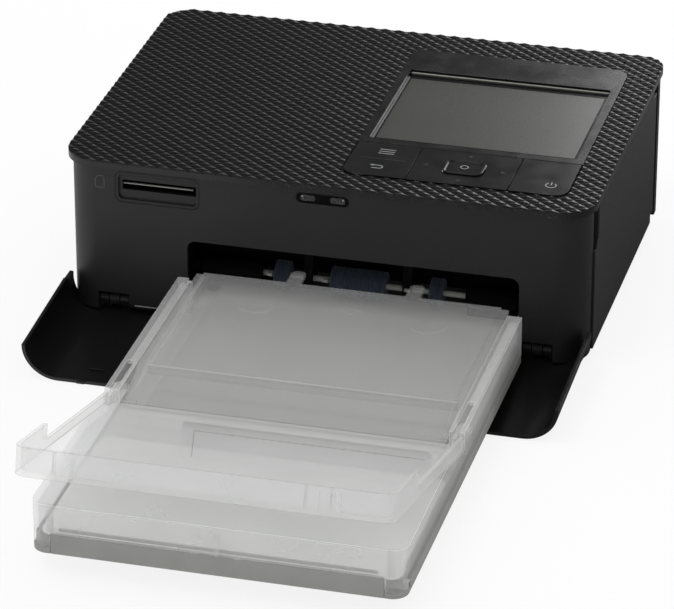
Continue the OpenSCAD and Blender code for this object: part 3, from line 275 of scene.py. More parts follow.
def drawn_metal(name, colour, roughness=0.3, stretch=(0.04, 1, 1)):
    """Drawn, rolled or turned metal: bright, with fine lines along its length.

    The real lines are about 0.05 mm apart. They are drawn coarser, so that they show in a render."""
    made, tree, shader, place = start_material(name, Metallic=1.0, Roughness=roughness)
    lines = patches(tree, place, 0.35, 3, stretch)
    rough = (lines, roughness - 0.08, roughness + 0.1)
    vary(tree, shader, colour, lines, (0.88, 1.06), rough, lines, 0.006)
    return made


def acetal(name, colour):
    """Natural acetal of small gears, moulded in a polished tool: waxy ivory, a little see-through."""
    made, tree, shader, place = start_material(
        name, Roughness=0.38, IOR=1.48, Subsurface_Weight=0.2, Subsurface_Scale=0.002
    )
    cloud, grain = patches(tree, place, 4, 3), patches(tree, place, 0.4)
    vary(tree, shader, colour, cloud, (0.94, 1.03), relief=grain, depth_mm=0.006)
    return made


def coated_paper(name, colour):
    """A stack of coated photo paper: even and smooth, its cut edge showing the separate sheets.

    A real sheet is half as thick. It is drawn thicker, so that it shows in a render."""
    made, tree, shader, place = start_material(name, Roughness=0.5, IOR=1.45)
    sheet_mm, waves_in_scale_1 = 0.44, 20
    stack = add_node(tree, "ShaderNodeMapping", {"Scale": (0, 0, 1)}, {"Vector": place})
    sheets = add_node(
        tree,
        "ShaderNodeTexWave",
        {"Scale": 1 / (sheet_mm * MM) / waves_in_scale_1, "Distortion": 0.0},
        {"Vector": stack.outputs[0]},
        bands_direction="Z",
    ).outputs["Fac"]
    cloud = patches(tree, place, 12, 3)
    vary(tree, shader, colour, cloud, (0.98, 1.01), relief=sheets, depth_mm=0.03, strength=0.5)
    return made


def solder_mask(name, colour):
    """Solder mask over copper tracks: green, with the raised tracks showing through."""
    made, tree, shader, place = start_material(name, Roughness=0.3, IOR=1.5)
    track_mm = 4
    tracks = add_node(
        tree,
        "ShaderNodeTexVoronoi",
        {"Scale": 1 / (track_mm * MM)},
        {"Vector": place},
        feature="DISTANCE_TO_EDGE",
    ).outputs["Distance"]
    vary(tree, shader, colour, tracks, (0.75, 1.3), relief=tracks, depth_mm=0.02)
    return made


def clear_lens(name, colour):
    """Smoked polycarbonate lens in front of the sensors: dark, clear and shiny."""
    made, tree, shader, place = start_material(name, Roughness=0.06, IOR=1.49, Transmission_Weight=0.35)
    cloud, wave = patches(tree, place, 2, 2), patches(tree, place, 1.5)
    vary(tree, shader, colour, cloud, (0.9, 1.1), relief=wave, depth_mm=0.004)
    return made


def printed_ink(name, colour):
    """Pad-printed ink: flat and matt, with a faint uneven cover.

    The real grain is under 0.1 mm. It is drawn coarser, so that it shows in a render."""
    made, tree, shader, place = start_material(name, Roughness=0.55, IOR=1.5)
    cover, grain = patches(tree, place, 0.5, 3), patches(tree, place, 0.3)
    vary(tree, shader, colour, cover, (0.9, 1.05), relief=grain, depth_mm=0.004)
    return made


def ribbon_film(name, colour):
    """Dye ribbon on its spool: thin dark violet film with wound layers."""
    made, tree, shader, place = start_material(name, Roughness=0.22, IOR=1.6)
    layers = patches(tree, place, 0.6, 3, (0.05, 1, 1))
    vary(tree, shader, colour, layers, (0.7, 1.3), relief=layers, depth_mm=0.01)
    return made


def make_materials():
    """One material for each slot of the record, and a few more for prints, painted glints and painted
    shade, and the shaft.
    """
    colours = finish()
    return {
        # Casing and door. The cover's finer grain lets each facet of its pattern catch the light.
        "shell": moulded("moulded black ABS", colours.shell),
        "cover": moulded("moulded black ABS, patterned", colours.cover, 0.3, 0.6, 0.006),
        "door": moulded("moulded black ABS, smooth", linear("0c0c0d"), 0.36, 0.5, 0.006),
        # The guide in the opening and the sensor window hardly shine, so they stay black.
        "dark": moulded("moulded black polystyrene", linear("101011"), 0.42, 0.5, 0.015),
        "throat": moulded("moulded black polystyrene, dull", linear("030303"), 0.7, 0.5, 0.01, 0.12),
        # Panel: black under a clear gloss. The pale acrylic is a painted glint: on the rear edge of the
        # display's window, on the middle key and at the sensor lenses.
        "gloss": polished_acrylic("polished black acrylic", colours.gloss, 0.24),
        "key": polished_acrylic("polished black key", linear("0e0e0f"), 0.2),
        "window": polished_acrylic("screen-printed acrylic", linear("101011"), 0.16),
        "painted_glint": polished_acrylic("pale acrylic, painted glint", linear("a9a9a2"), 0.3),
        "display": anti_glare_film("anti-glare display film", colours.display),
        "lens": clear_lens("smoked polycarbonate", linear("48484a")),
        # Prints are pale on the keys and faint on the front. Grooves and seams are black; the same black
        # is painted shade on the walls round the cover's pattern.
        "ink": printed_ink("pad-printed ink", colours.marking),
        "faint_ink": printed_ink("faint pad-printed ink", linear("4a4a4b")),
        "groove": printed_ink("black groove, print and painted shade", linear("020202")),
        # Cassette: milky walls and lids. Their rounded edges are painted lighter as highlight, and the
        # outer lid's rims darker as shade.
        "frost": frosted_polypropylene("frosted polypropylene", colours.frost),
        "frost_thin": frosted_polypropylene("thin frosted polypropylene", colours.frost, 0.15),
        "frost_painted_highlight": frosted_polypropylene("frosted polypropylene, painted highlight", linear("fafafa"), 0.9, 0.3),
        "frost_painted_shade": frosted_polypropylene("frosted polypropylene, painted shade", linear("9c9c9b"), 0.6),
        # Its opaque parts: grey base, and the ribs and sheet that show through the milky walls. The cross
        # wall, the bar under the inner lid's bend and the paper are coloured darker as painted shade.
        "grey": moulded("moulded grey ABS", colours.grey, 0.5, 0.5, 0.015),
        "dim": moulded("grey ABS darkened as painted shade", linear("666664"), 0.5, 0.8, 0.01),
        "liner_and_crease_shade": moulded("moulded grey polypropylene and painted crease shade", linear("aeaeab"), 0.5, 0.8, 0.01),
        "pale": moulded("moulded white polypropylene", linear("f8f8f6"), 0.5, 0.8, 0.01),
        # Painted shade: the paper is coloured grey, darker than white paper, as shade under the inner lid.
        "paper": coated_paper("coated photo paper", linear("9f9f9c")),
        # Rollers and feet: matt rubber, blue-grey where it picks up the paper.
        "roller": nitrile_rubber("blue-grey nitrile rubber", colours.roller, 0.6),
        "platen": nitrile_rubber("ground nitrile rubber", linear("2c2d31"), 0.5),
        "rubber": nitrile_rubber("black nitrile rubber", linear("1d1d1e")),
        # Works inside: bright metals, waxy gears, ivory cartridge, green boards.
        "shaft": zinc_plated("zinc-plated steel", linear("8e8e8a")),
        "steel": drawn_metal("rolled steel", linear("b9bbbd")),
        "brass": drawn_metal("turned brass", linear("c9a25c"), 0.28, (1, 1, 1)),
        "aluminium": drawn_metal("extruded aluminium", linear("b4b6b9"), 0.36),
        "gear": acetal("natural acetal", linear("e2ded2")),
        "case": moulded("moulded ivory ABS", linear("d9d6cc"), 0.45, 0.5, 0.015),
        "film": ribbon_film("dye ribbon", linear("3a2f45")),
        "board": solder_mask("green solder mask", linear("1c5a38")),
        "chip": moulded("moulded epoxy", linear("26272a"), 0.5, 0.4, 0.01),
    }


# ---- Modelling helpers ---------------------------------------------------------------------------


def block(bm, corner_a, corner_b):
    """Adds a box between two corners in millimetres and returns its vertices."""
    a, b = Vector(corner_a) * MM, Vector(corner_b) * MM
    middle = Matrix.Translation((a + b) / 2)
    size = Matrix.Diagonal([abs(v) for v in (b - a)] + [1])
    return bmesh.ops.create_cube(bm, size=1, matrix=middle @ size)["verts"]


def verts_in(geometry):
    """The vertices among what an operator made."""
    return [g for g in geometry if isinstance(g, bmesh.types.BMVert)]


def both_sides(inner, outer):
    """The two spans across the printer that lie that far to its left and right."""
    return (-outer, -inner), (inner, outer)


def edges_of(verts, axis=None):
    """The edges between some vertices, or those of them that lie along an axis."""
    inside = set(verts)
    found = {e for v in verts for e in v.link_edges if inside.issuperset(e.verts)}
    if axis is None:
        return list(found)
    return [e for e in found if abs((e.verts[0].co - e.verts[1].co).normalized().dot(axis)) > 0.999]


def round_edges(bm, edges, radius, segments=4):
    """Rounds edges with a radius in millimetres."""
    bmesh.ops.bevel(
        bm,
        geom=edges,
        offset=radius * MM,
        offset_type="OFFSET",
        segments=segments,
        profile=0.5,
        affect="EDGES",
        material=-1,
        clamp_overlap=True,
    )


def plate(bm, corner_a, corner_b, radius, axis=Z_AXIS, segments=6):
    """Adds a box whose edges along one axis are rounded, and returns its vertices."""
    before = set(bm.verts)
    round_edges(bm, edges_of(block(bm, corner_a, corner_b), axis), radius, segments)
    return [v for v in bm.verts if v not in before]


def cylinder(bm, centre, radius, length, axis=X_AXIS, segments=32, edge=0.0):
    """Adds a round bar centred on a point, along an axis, with its two rims rounded."""
    turn = Z_AXIS.rotation_difference(axis).to_matrix().to_4x4()
    verts = bmesh.ops.create_cone(
        bm,
        cap_ends=True,
        segments=segments,
        radius1=radius * MM,
        radius2=radius * MM,
        depth=length * MM,
        matrix=Matrix.Translation(Vector(centre) * MM) @ turn,
    )["verts"]
    if edge:
        rims = [e for e in edges_of(verts) if e.calc_face_angle(0) > math.radians(CORNER)]
        round_edges(bm, rims, edge, 2)


def outline_prism(bm, points, z0, z1):
    """Extrudes a closed outline of (x, y) points in millimetres between two heights."""
    outline = bm.faces.new([bm.verts.new(Vector((x, y, z0)) * MM) for x, y in points])
    upper = bmesh.ops.extrude_face_region(bm, geom=[outline])["geom"]
    bmesh.ops.translate(bm, verts=verts_in(upper), vec=(0, 0, (z1 - z0) * MM))


def arc_stroke(bm, centre, radius, width, start, turn, z0, z1, steps=20):
    """A bent bar: an upright rectangle spun about a vertical axis, from an angle through a turn."""
    aim = Vector((math.cos(math.radians(start)), math.sin(math.radians(start)), 0))
    inner, outer = radius - width / 2, radius + width / 2
    corners = [(inner, z0), (outer, z0), (outer, z1), (inner, z1)]
    middle = Vector((centre[0], centre[1], 0))
    verts = [bm.verts.new((middle + aim * r + Z_AXIS * z) * MM) for r, z in corners]
    first = bm.faces.new(verts)
    bmesh.ops.spin(
        bm,
        geom=verts + first.edges[:] + [first],
        cent=middle * MM,
        axis=Z_AXIS,
        angle=math.radians(turn),
        steps=steps,
    )


def seam_ring(bm, a, b, radius, width, y0, y1):
    """A closed band round an upright rounded rectangle, between two depths."""
    rims = []
    for grow in (width, 0):
        near, far = (a.x - grow, y0, a.z - grow), (b.x + grow, y1, b.z + grow)
        verts = plate(bm, near, far, radius + grow, Y_AXIS, segments=8)
        ends = {f for v in verts for f in v.link_faces if len(f.verts) > 4}
        rims += [e for f in ends for e in f.edges]
        bmesh.ops.delete(bm, geom=list(ends), context="FACES_ONLY")
    for y in (y0, y1):
        level = [e for e in rims if abs(e.verts[0].co.y / MM - y) < 0.01]
        bmesh.ops.triangle_fill(bm, use_beauty=True, edges=level)


def ring_of(bm, profile, centre, steps=48):
    """Spins a closed profile of (distance along X, radius) points in millimetres about an X axis."""
    middle = Vector(centre)
    verts = [bm.verts.new((middle + X_AXIS * x + Y_AXIS * radius) * MM) for x, radius in profile]
    edges = [bm.edges.new((verts[i - 1], verts[i])) for i in range(len(verts))]
    bmesh.ops.spin(
        bm,
        geom=verts + edges,
        cent=middle * MM,
        axis=X_AXIS,
        angle=math.tau,
        steps=steps,
        use_merge=True,
    )
    bmesh.ops.remove_doubles(bm, verts=bm.verts, dist=0.001 * MM)


def to_piece(bm, name, slot, body, material=None, replaces=(), angle=CORNER, recalculate=True):
    """Makes a shaded object of a bmesh with the material of its slot, or another, ties it to its body and
    hides the CAD nodes that it replaces.
    """
    if recalculate:
        bmesh.ops.recalc_face_normals(bm, faces=bm.faces)
    mesh = bpy.data.meshes.new(name)
    bm.to_mesh(mesh)
    bm.free()
    piece = bpy.data.objects.new(name, mesh)
    bpy.context.scene.collection.objects.link(piece)
    mesh.materials.append(MATERIALS[material or slot])
    mesh.shade_smooth()
    mesh.set_sharp_from_angle(angle=math.radians(angle))
    if replaces:
        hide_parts(*replaces)
    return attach(piece, body)


def merged_copy(node):
    """A bmesh of a CAD node's mesh with its loose triangles merged to flat faces."""
    gap_mm, flat = 0.002, math.radians(0.6)
    bm = bmesh.new()
    bm.from_mesh(NODES[node].data)
    bmesh.ops.remove_doubles(bm, verts=bm.verts, dist=gap_mm * MM)
    bmesh.ops.dissolve_limit(bm, angle_limit=flat, verts=bm.verts, edges=bm.edges)
    return bm


def eased(node, width=None, segments=2, material=None, edge_material=None):
    """A copy of a CAD node with its moulded edges rounded, which replaces the node."""
    slot, body = SLOT_OF[node], BODY_OF[node]
    bm = merged_copy(node)
    made = to_piece(bm, node + "_moulding", slot, body, material, (node,), recalculate=False)
    bevel = made.modifiers.new("rounded edges", "BEVEL")
    bevel.width = relief().edge if width is None else width * MM
    bevel.segments = segments
    bevel.limit_method = "ANGLE"
    bevel.angle_limit = math.radians(CORNER)
    bevel.use_clamp_overlap = True
    if edge_material:
        made.data.materials.append(MATERIALS[edge_material])
        bevel.material = 1
    flat = made.modifiers.new("flat faces", "WEIGHTED_NORMAL")
    flat.mode = "FACE_AREA"
    flat.weight = 100
    flat.keep_sharp = True
    return made


def repaint(*names, material=None):
    """Gives CAD nodes whose shape is right the material of their slot, or another."""
    for name in names:
        mesh = NODES[name].data
        mesh.materials.clear()
        mesh.materials.append(MATERIALS[material or SLOT_OF[name]])


def baked(piece):
    """Applies a piece's modifiers to its mesh."""
    bpy.context.view_layer.update()
    graph = bpy.context.evaluated_depsgraph_get()
    mesh = bpy.data.meshes.new_from_object(piece.evaluated_get(graph))
    piece.modifiers.clear()
    piece.data = mesh


class PrinterOperator(bpy.types.Operator):
    """Base of the operators, which can be undone."""

    bl_options = {"REGISTER", "UNDO"}


# ---- Casing --------------------------------------------------------------------------------------


class PRINTER_OT_top_cover(PrinterOperator):
    """Top cover: a smooth band and rim round a lattice of raised diamonds."""

    bl_idname = "printer.top_cover"
    bl_label = "Top cover"

    def execute(self, context):
        sizes = relief()
        rim_radius = 0.2
        bm = merged_copy("top_cover")
        plan = bmesh.new()
        self.copy_faces(self.level_faces(bm), plan)
        bmesh.ops.inset_region(
            plan, faces=plan.faces[:], thickness=sizes.rim, use_even_offset=True, use_boundary=True
        )
        border = [f for f in plan.faces if any(e.is_boundary for e in f.edges)]
        bmesh.ops.delete(plan, geom=border, context="FACES")
        level = self.level_faces(bm)
        corners = {v for f in level for v in f.verts}
        bmesh.ops.translate(bm, verts=list(corners), vec=(0, 0, -sizes.height))
        outer = {e for f in level for e in f.edges if any(g.normal.z < 0.9 for g in e.link_faces)}
        round_edges(bm, list(outer), rim_radius, 3)
        to_piece(bm, "top_cover_moulding", "cover", "printer", replaces=("top_cover",), recalculate=False)
        self.lattice(plan, sizes)
        return {"FINISHED"}

    @staticmethod
    def level_faces(bm):
        """The cover's flat top."""
        top = COVER_HIGH.z * MM - 1e-5
        return [f for f in bm.faces if f.normal.z > 0.999 and f.calc_center_median().z > top]

    @staticmethod
    def copy_faces(faces, target):
        """Copies flat faces into another bmesh."""
        made = {}
        for face in faces:
            for vert in face.verts:
                if vert not in made:
                    made[vert] = target.verts.new(vert.co)
            target.faces.new([made[v] for v in face.verts])

    def lattice(self, plan, sizes):
        """Cuts the sheet of diamonds to the plan inside the rim. The walls of the cut are painted black,
        as shade in the gap round the pattern.
        """
        crease, upright = 5, 0.3
        bmesh.ops.translate(plan, verts=plan.verts, vec=(0, 0, -sizes.height * 1.5))
        lifted = bmesh.ops.extrude_face_region(plan, geom=plan.faces[:])["geom"]
        bmesh.ops.translate(plan, verts=verts_in(lifted), vec=(0, 0, sizes.height * 3))
        cutter = to_piece(plan, "cover_lattice_plan", "cover", "printer")
        diamonds = to_piece(self.diamond_sheet(sizes), "cover_lattice", "cover", "printer", angle=crease)
        cut = diamonds.modifiers.new("plan", "BOOLEAN")
        cut.operation = "INTERSECT"
        cut.solver = "EXACT"
        cut.object = cutter
        baked(diamonds)
        bpy.data.objects.remove(cutter)
        diamonds.data.set_sharp_from_angle(angle=math.radians(crease))
        # Painted shade: the upright walls of the cut take the black of the grooves.
        diamonds.data.materials.append(MATERIALS["groove"])
        for face in diamonds.data.polygons:
            if abs(face.normal.z) < upright:
                face.material_index = 1

    @staticmethod
    def diamond_sheet(sizes):
        """A closed sheet larger than the cover, with one diamond at every second point of a grid."""
        height = sizes.height
        half_x, half_y = sizes.pitch_x / 2, sizes.pitch_y / 2
        width = (COVER_HIGH.x - COVER_LOW.x) * MM + 2 * sizes.pitch_x
        depth = (COVER_HIGH.y - COVER_LOW.y) * MM + 2 * sizes.pitch_y
        columns, rows = round(width / half_x), round(depth / half_y)
        scale = Matrix.Diagonal((columns * half_x, rows * half_y, 1, 1))
        middle = Vector((0, (COVER_LOW.y + COVER_HIGH.y) / 2 * MM, COVER_HIGH.z * MM - height))
        corner = Vector((-columns * half_x / 2, -rows * half_y / 2, 0)) + middle
        grid = bmesh.new()
        bmesh.ops.create_grid(
            grid, x_segments=columns, y_segments=rows, size=0.5, matrix=Matrix.Translation(middle) @ scale
        )
        peaks = set()
        for vert in grid.verts:
            column = round((vert.co.x - corner.x) / half_x)
            row = round((vert.co.y - corner.y) / half_y)
            if (column + row) % 2 == 0:
                peaks.add(vert)
        for face in grid.faces[:]:
            valley = [v for v in face.verts if v not in peaks]
            bmesh.utils.face_split(face, valley[0], valley[1])
        bmesh.ops.translate(grid, verts=list(peaks), vec=(0, 0, height))
        skirt = bmesh.ops.extrude_edge_only(grid, edges=[e for e in grid.edges if e.is_boundary])["geom"]
        bmesh.ops.translate(grid, verts=verts_in(skirt), vec=(0, 0, -height))
        bmesh.ops.holes_fill(grid, edges=[e for e in grid.edges if e.is_boundary], sides=0)
        return grid


class PRINTER_OT_shells(PrinterOperator):
    """Front shell, side panels, rear panel and base, with their moulded edges rounded."""

    bl_idname = "printer.shells"
    bl_label = "Shells"

    def execute(self, context):
        for node in ("front_shell", "left_panel", "rear_panel", "base_tray", "compartment_cover"):
            eased(node)
        eased("feet", 0.5, 3)
        repaint("case_screws", "cover_pins")
        return {"FINISHED"}


class PRINTER_OT_front_fittings(PrinterOperator):
    """Card slot, sensor window and the mark of a memory card."""

    bl_idname = "printer.front_fittings"
    bl_label = "Front fittings"

    def execute(self, context):
        eased("card_slot_bezel", 0.3, 3)
        self.seams()
        self.sensor_lights()
        eased("card_reader", 0.1, material="throat")
        eased("sensor_window", 0.12, material="throat")
        repaint("sensor_lenses", material="lens")
        self.contact_rail()
        self.card_mark()
        return {"FINISHED"}

    def seams(self):
        """The black seams round the card slot and the sensor window."""
        front = low("front_shell").y
        proud = 0.03
        bm = bmesh.new()
        slot, window = "card_slot_bezel", "sensor_window"
        seam_ring(bm, low(slot), high(slot), 2.4, 0.42, front - proud, front + 0.2)
        seam_ring(bm, low(window), high(window), 1.75, 0.3, front - proud, front + 0.3)
        to_piece(bm, "front_seams", "shell", "printer", material="groove")

    def sensor_lights(self):
        """Two smoked lenses in the window, each with a small painted glint near its rim."""
        a, b = low("sensor_window"), high("sensor_window")
        proud, margin, glint_x, glint_drop = 0.05, 0.75, 7.0, 1.3
        lenses, glints = bmesh.new(), bmesh.new()
        for near, far in both_sides(2.6, 7.7):
            plate(lenses, (near, a.y - proud, a.z + margin), (far, a.y + 0.4, b.z - margin), 0.8, Y_AXIS)
        # Painted glints: a pale dot near the outer end of each lens.
        for side in (-1, 1):
            cylinder(glints, (side * glint_x, a.y - proud, b.z - glint_drop), 0.3, 0.1, Y_AXIS, 16)
        to_piece(lenses, "sensor_smoked_lenses", "window", BODY_OF["sensor_window"], "lens")
        to_piece(glints, "sensor_glints", "window", BODY_OF["sensor_window"], "painted_glint")

    def contact_rail(self):
        """The bright steel lip inside the card slot, between its two dark halves."""
        a, b = low("card_slot_bezel"), high("card_slot_bezel")
        inset, height, near, far = 2.4, 0.35, 1.5, 2.3
        foot = (a.z + b.z) / 2 + 0.6
        bm = bmesh.new()
        plate(bm, (a.x + inset, a.y + near, foot), (b.x - inset, a.y + far, foot + height), 0.12, X_AXIS)
        to_piece(bm, "card_slot_lip", "steel", BODY_OF["card_reader"], "shaft")

    def card_mark(self):
        """Outline of a memory card with its cut corner, printed beside the slot."""
        left, right, foot, head = -79.2, -75.8, 50.7, 55.3
        line, cut, half_depth = 0.32, 1.1, 0.05
        slant_length = cut * 1.41
        front = low("front_shell").y
        y0, y1 = front - half_depth, front + half_depth
        bm = bmesh.new()
        block(bm, (left, y0, foot), (left + line, y1, head - cut))
        block(bm, (right - line, y0, foot), (right, y1, head))
        block(bm, (left, y0, foot), (right, y1, foot + line))
        block(bm, (left + cut, y0, head - line), (right, y1, head))
        slant = block(bm, (left, y0, head - line), (left + slant_length, y1, head))
        corner = Vector((left, 0, head - cut)) * MM
        bmesh.ops.translate(bm, verts=slant, vec=(0, 0, -cut * MM))
        bmesh.ops.rotate(bm, verts=slant, cent=corner, matrix=Matrix.Rotation(math.radians(-45), 3, "Y"))
        to_piece(bm, "card_mark", "shell", "printer", material="faint_ink")


class PRINTER_OT_door(PrinterOperator):
    """Front door, swung down onto its hinge pins."""

    bl_idname = "printer.door"
    bl_label = "Front door"

    def execute(self, context):
        eased("front_door", 0.3, 3, material="door")
        repaint("door_hinge_pins", material="shaft")
        self.ear_lips()
        self.pin_caps()
        self.hinge_backing()
        self.inner_marks()
        return {"FINISHED"}

    def ear_lips(self):
        """The rear lip of each ear of the door, which reaches round the corner of the front shell."""
        a, b = low("front_door"), high("front_door")
        radius, wall, inset, start, depth, lead = 13.5, 1.5, 0.15, 24.2, 6.4, math.radians(6)
        inner, outer = radius - wall, radius - inset
        corners = [(inner, 0), (outer, 0), (outer, depth), (inner, depth)]
        bm = bmesh.new()
        for side in (-1, 1):
            middle = Vector((side * (b.x - radius), start, a.z + radius))
            aim = Vector((side * math.cos(lead), 0, math.sin(lead)))
            verts = [bm.verts.new((middle + aim * r + Y_AXIS * y) * MM) for r, y in corners]
            face = bm.faces.new(verts)
            bmesh.ops.spin(
                bm,
                geom=verts + face.edges[:] + [face],
                cent=middle * MM,
                axis=Y_AXIS,
                angle=side * (math.radians(90) + lead),
                steps=22,
            )
        to_piece(bm, "door_ear_lips", "shell", BODY_OF["front_door"], material="door")

    def pin_caps(self):
        """The plated ends of the hinge pins, and a painted highlight along the edge of the sill next to
        the left one.
        """
        front = low("front_shell").y
        pin_x, pin_y, pin_z = 69.4, 28.45, 8.3
        bm = bmesh.new()
        for side in (-1, 1):
            cylinder(bm, (side * pin_x, pin_y, pin_z), 1.25, 1.5, X_AXIS, 24, 0.2)
        # Painted highlight: a bright strip on the sill's edge.
        block(bm, (-66.2, front - 0.08, 7.4), (-58.4, front + 0.1, 7.7))
        to_piece(bm, "door_pin_caps", "steel", "printer", "shaft")

    def hinge_backing(self):
        """Dark ribs of the front shell behind the two hinges, and a fin in each corner: painted shade, a
        black backing where the gaps at the hinges would show the floor.
        """
        front = low("front_shell").y
        rib_y, rib_foot, rib_head = front + 12.5, 2.2, 15.5
        fin_y, fin_foot, fin_head = front + 8.2, 0.3, 7
        bm = bmesh.new()
        for near, far in both_sides(47, 86):
            plate(bm, (near, rib_y, rib_foot), (far, rib_y + 1.2, rib_head), 0.4, Y_AXIS)
        for near, far in both_sides(77.5, 84.5):
            plate(bm, (near, fin_y, fin_foot), (far, fin_y + 1.0, fin_head), 0.3, Y_AXIS)
        # Painted shade: the near-black backing fills the gaps at the hinges.
        to_piece(bm, "door_hinge_backing", "dark", "printer", material="throat")

    def inner_marks(self):
        """Stiffening rib and stops on the inside of the door."""
        a = low("front_door")
        wall = a.z + 2.0
        stops = ((-71.0, 1.5), (-61.0, 1.0))
        bm = bmesh.new()
        plate(bm, (-70.4, -13.6, wall - 0.3), (-65.2, -13.0, wall + 0.2), 0.1, X_AXIS)
        for x, half in stops:
            plate(bm, (x - half, a.y + 0.3, a.z + 0.1), (x + half, a.y + 1.2, a.z + 0.9), 0.3, Y_AXIS)
        to_piece(bm, "door_inner_marks", "shell", BODY_OF["front_door"], material="door")


class PRINTER_OT_panel(PrinterOperator):
    """Operation panel: bezel, display and keys."""

    bl_idname = "printer.panel"
    bl_label = "Operation panel"

    # Thickness of a print's lines on the keys, and how deep it sinks in and stands proud.
    line, sink, proud = 0.42, 0.02, 0.025

    def execute(self, context):
        eased("panel_bezel", 0.03, 1)
        self.display()
        for node in ("menu_rocker", "direction_plate", "power_key"):
            eased(node, 0.03, 1)
        eased("ok_key", 0.25, 3)
        repaint("plate_carrier", "panel_board", "display_module")
        self.menu_marks()
        self.direction_marks()
        self.middle_key_marks()
        self.power_mark()
        return {"FINISHED"}

    def print_levels(self, node):
        """Lower and upper height of a print on top of a key."""
        top = high(node).z
        return top - self.sink, top + self.proud

    def menu_marks(self):
        """Three bars for the menu and an arrow for going back, with a groove between them."""
        z0, z1 = self.print_levels("menu_rocker")
        body = BODY_OF["menu_rocker"]
        a, b = low("menu_rocker"), high("menu_rocker")
        half_line = self.line / 2
        bm = bmesh.new()
        x, y, half, pitch = (a.x + b.x) / 2 + 0.4, a.y + 19.2, 2.7, 1.6
        for row in (-1, 0, 1):
            middle = y + row * pitch
            block(bm, (x - half, middle - half_line, z0), (x + half, middle + half_line, z1))
        x, y, bend, reach = x - 0.6, a.y + 6.9, 1.1, 0.9
        for row in (-1, 1):
            middle = y + row * bend
            block(bm, (x - 1.6, middle - half_line, z0), (x + reach, middle + half_line, z1))
        arc_stroke(bm, (x + reach, y), bend, self.line, -90, 180, z0, z1, 12)
        tip, barb, half_barb = x - 2.6, x - 1.3, 0.75
        points = [(tip, y + bend), (barb, y + bend - half_barb), (barb, y + bend + half_barb)]
        outline_prism(bm, points, z0, z1)
        to_piece(bm, "menu_marks", "key", body, material="ink")
        groove = bmesh.new()
        block(groove, (a.x + 3.9, a.y + 13.0, z0), (b.x - 3.1, a.y + 13.4, z1))
        to_piece(groove, "menu_groove", "key", body, material="groove")

    def direction_marks(self):
        """Four small wedges round the middle key."""
        z0, z1 = self.print_levels("direction_plate")
        x, y = (low("ok_key") + high("ok_key")).xy / 2
        half, reach_x, reach_y = 0.9, 13.4, 9.9
        bm = bmesh.new()
        for step_x, step_y in ((1, 0), (-1, 0), (0, 1), (0, -1)):
            tip_x, tip_y = x + step_x * (reach_x + half), y + step_y * (reach_y + half)
            base_x, base_y = x + step_x * (reach_x - half), y + step_y * (reach_y - half)
            points = [
                (tip_x, tip_y),
                (base_x - step_y * half, base_y + step_x * half),
                (base_x + step_y * half, base_y - step_x * half),
            ]
            outline_prism(bm, points, z0, z1)
        to_piece(bm, "direction_marks", "key", BODY_OF["direction_plate"], material="groove")

    def middle_key_marks(self):
        """A ring printed on the middle key, and painted glints on its two sides."""
        z0, z1 = self.print_levels("ok_key")
        a, b = low("ok_key"), high("ok_key")
        centre = (a + b).xy / 2
        ring = bmesh.new()
        for start in (0, 180):
            arc_stroke(ring, centre, 1.25, 0.36, start, 180, z0, z1)
        to_piece(ring, "middle_key_mark", "key", BODY_OF["ok_key"], material="ink")
        # Painted glints: pale strips on the key's left and right sides.
        width, proud, head = 0.3, 0.04, b.z - 0.3
        glints = bmesh.new()
        plate(glints, (a.x - proud, a.y + 1.0, b.z - 1.0), (a.x + width, a.y + 4.2, head), 0.12, Y_AXIS)
        plate(glints, (b.x - width, b.y - 4.0, b.z - 0.8), (b.x + proud, b.y - 1.4, head), 0.12, Y_AXIS)
        to_piece(glints, "middle_key_glints", "key", BODY_OF["ok_key"], material="painted_glint")

    def power_mark(self):
        """The usual sign for power: an open ring with a bar in its gap."""
        z0, z1 = self.print_levels("power_key")
        x, y = high("power_key").x - 6.6, low("power_key").y + 7.25
        radius, line, gap = 1.75, 0.4, 70
        bm = bmesh.new()
        arc_stroke(bm, (x, y), radius, line, 90 + gap / 2, 360 - gap, z0, z1, 28)
        block(bm, (x - line / 2, y + 0.3, z0), (x + line / 2, y + radius + 0.5, z1))
        to_piece(bm, "power_mark", "key", BODY_OF["power_key"], material="ink")

    def display(self):
        """A window printed black round its edge, over the film of the display, with a painted highlight
        along its rear edge.
        """
        a, b = low("display_window"), high("display_window")
        bm = bmesh.new()
        plate(bm, a, b, 1.1)
        to_piece(bm, "display_border", "window", "printer", replaces=("display_window",))
        margin_x, margin_front, margin_back, sink, proud = 1.3, 3.2, 4.6, 0.2, 0.06
        near = (a.x + margin_x, a.y + margin_front, b.z - sink)
        far = (b.x - margin_x, b.y - margin_back, b.z + proud)
        film = bmesh.new()
        plate(film, near, far, 0.3)
        to_piece(film, "display_film", "display", "printer")
        # Painted highlight: a pale strip standing on the rear edge of the window.
        edge = bmesh.new()
        plate(edge, (a.x + 0.3, b.y - 0.25, b.z), (b.x - 0.3, b.y + 0.1, b.z + 0.45), 0.1, X_AXIS)
        to_piece(edge, "display_window_edge", "window", "printer", material="painted_glint")


# ---- Cassette ------------------------------------------------------------------------------------


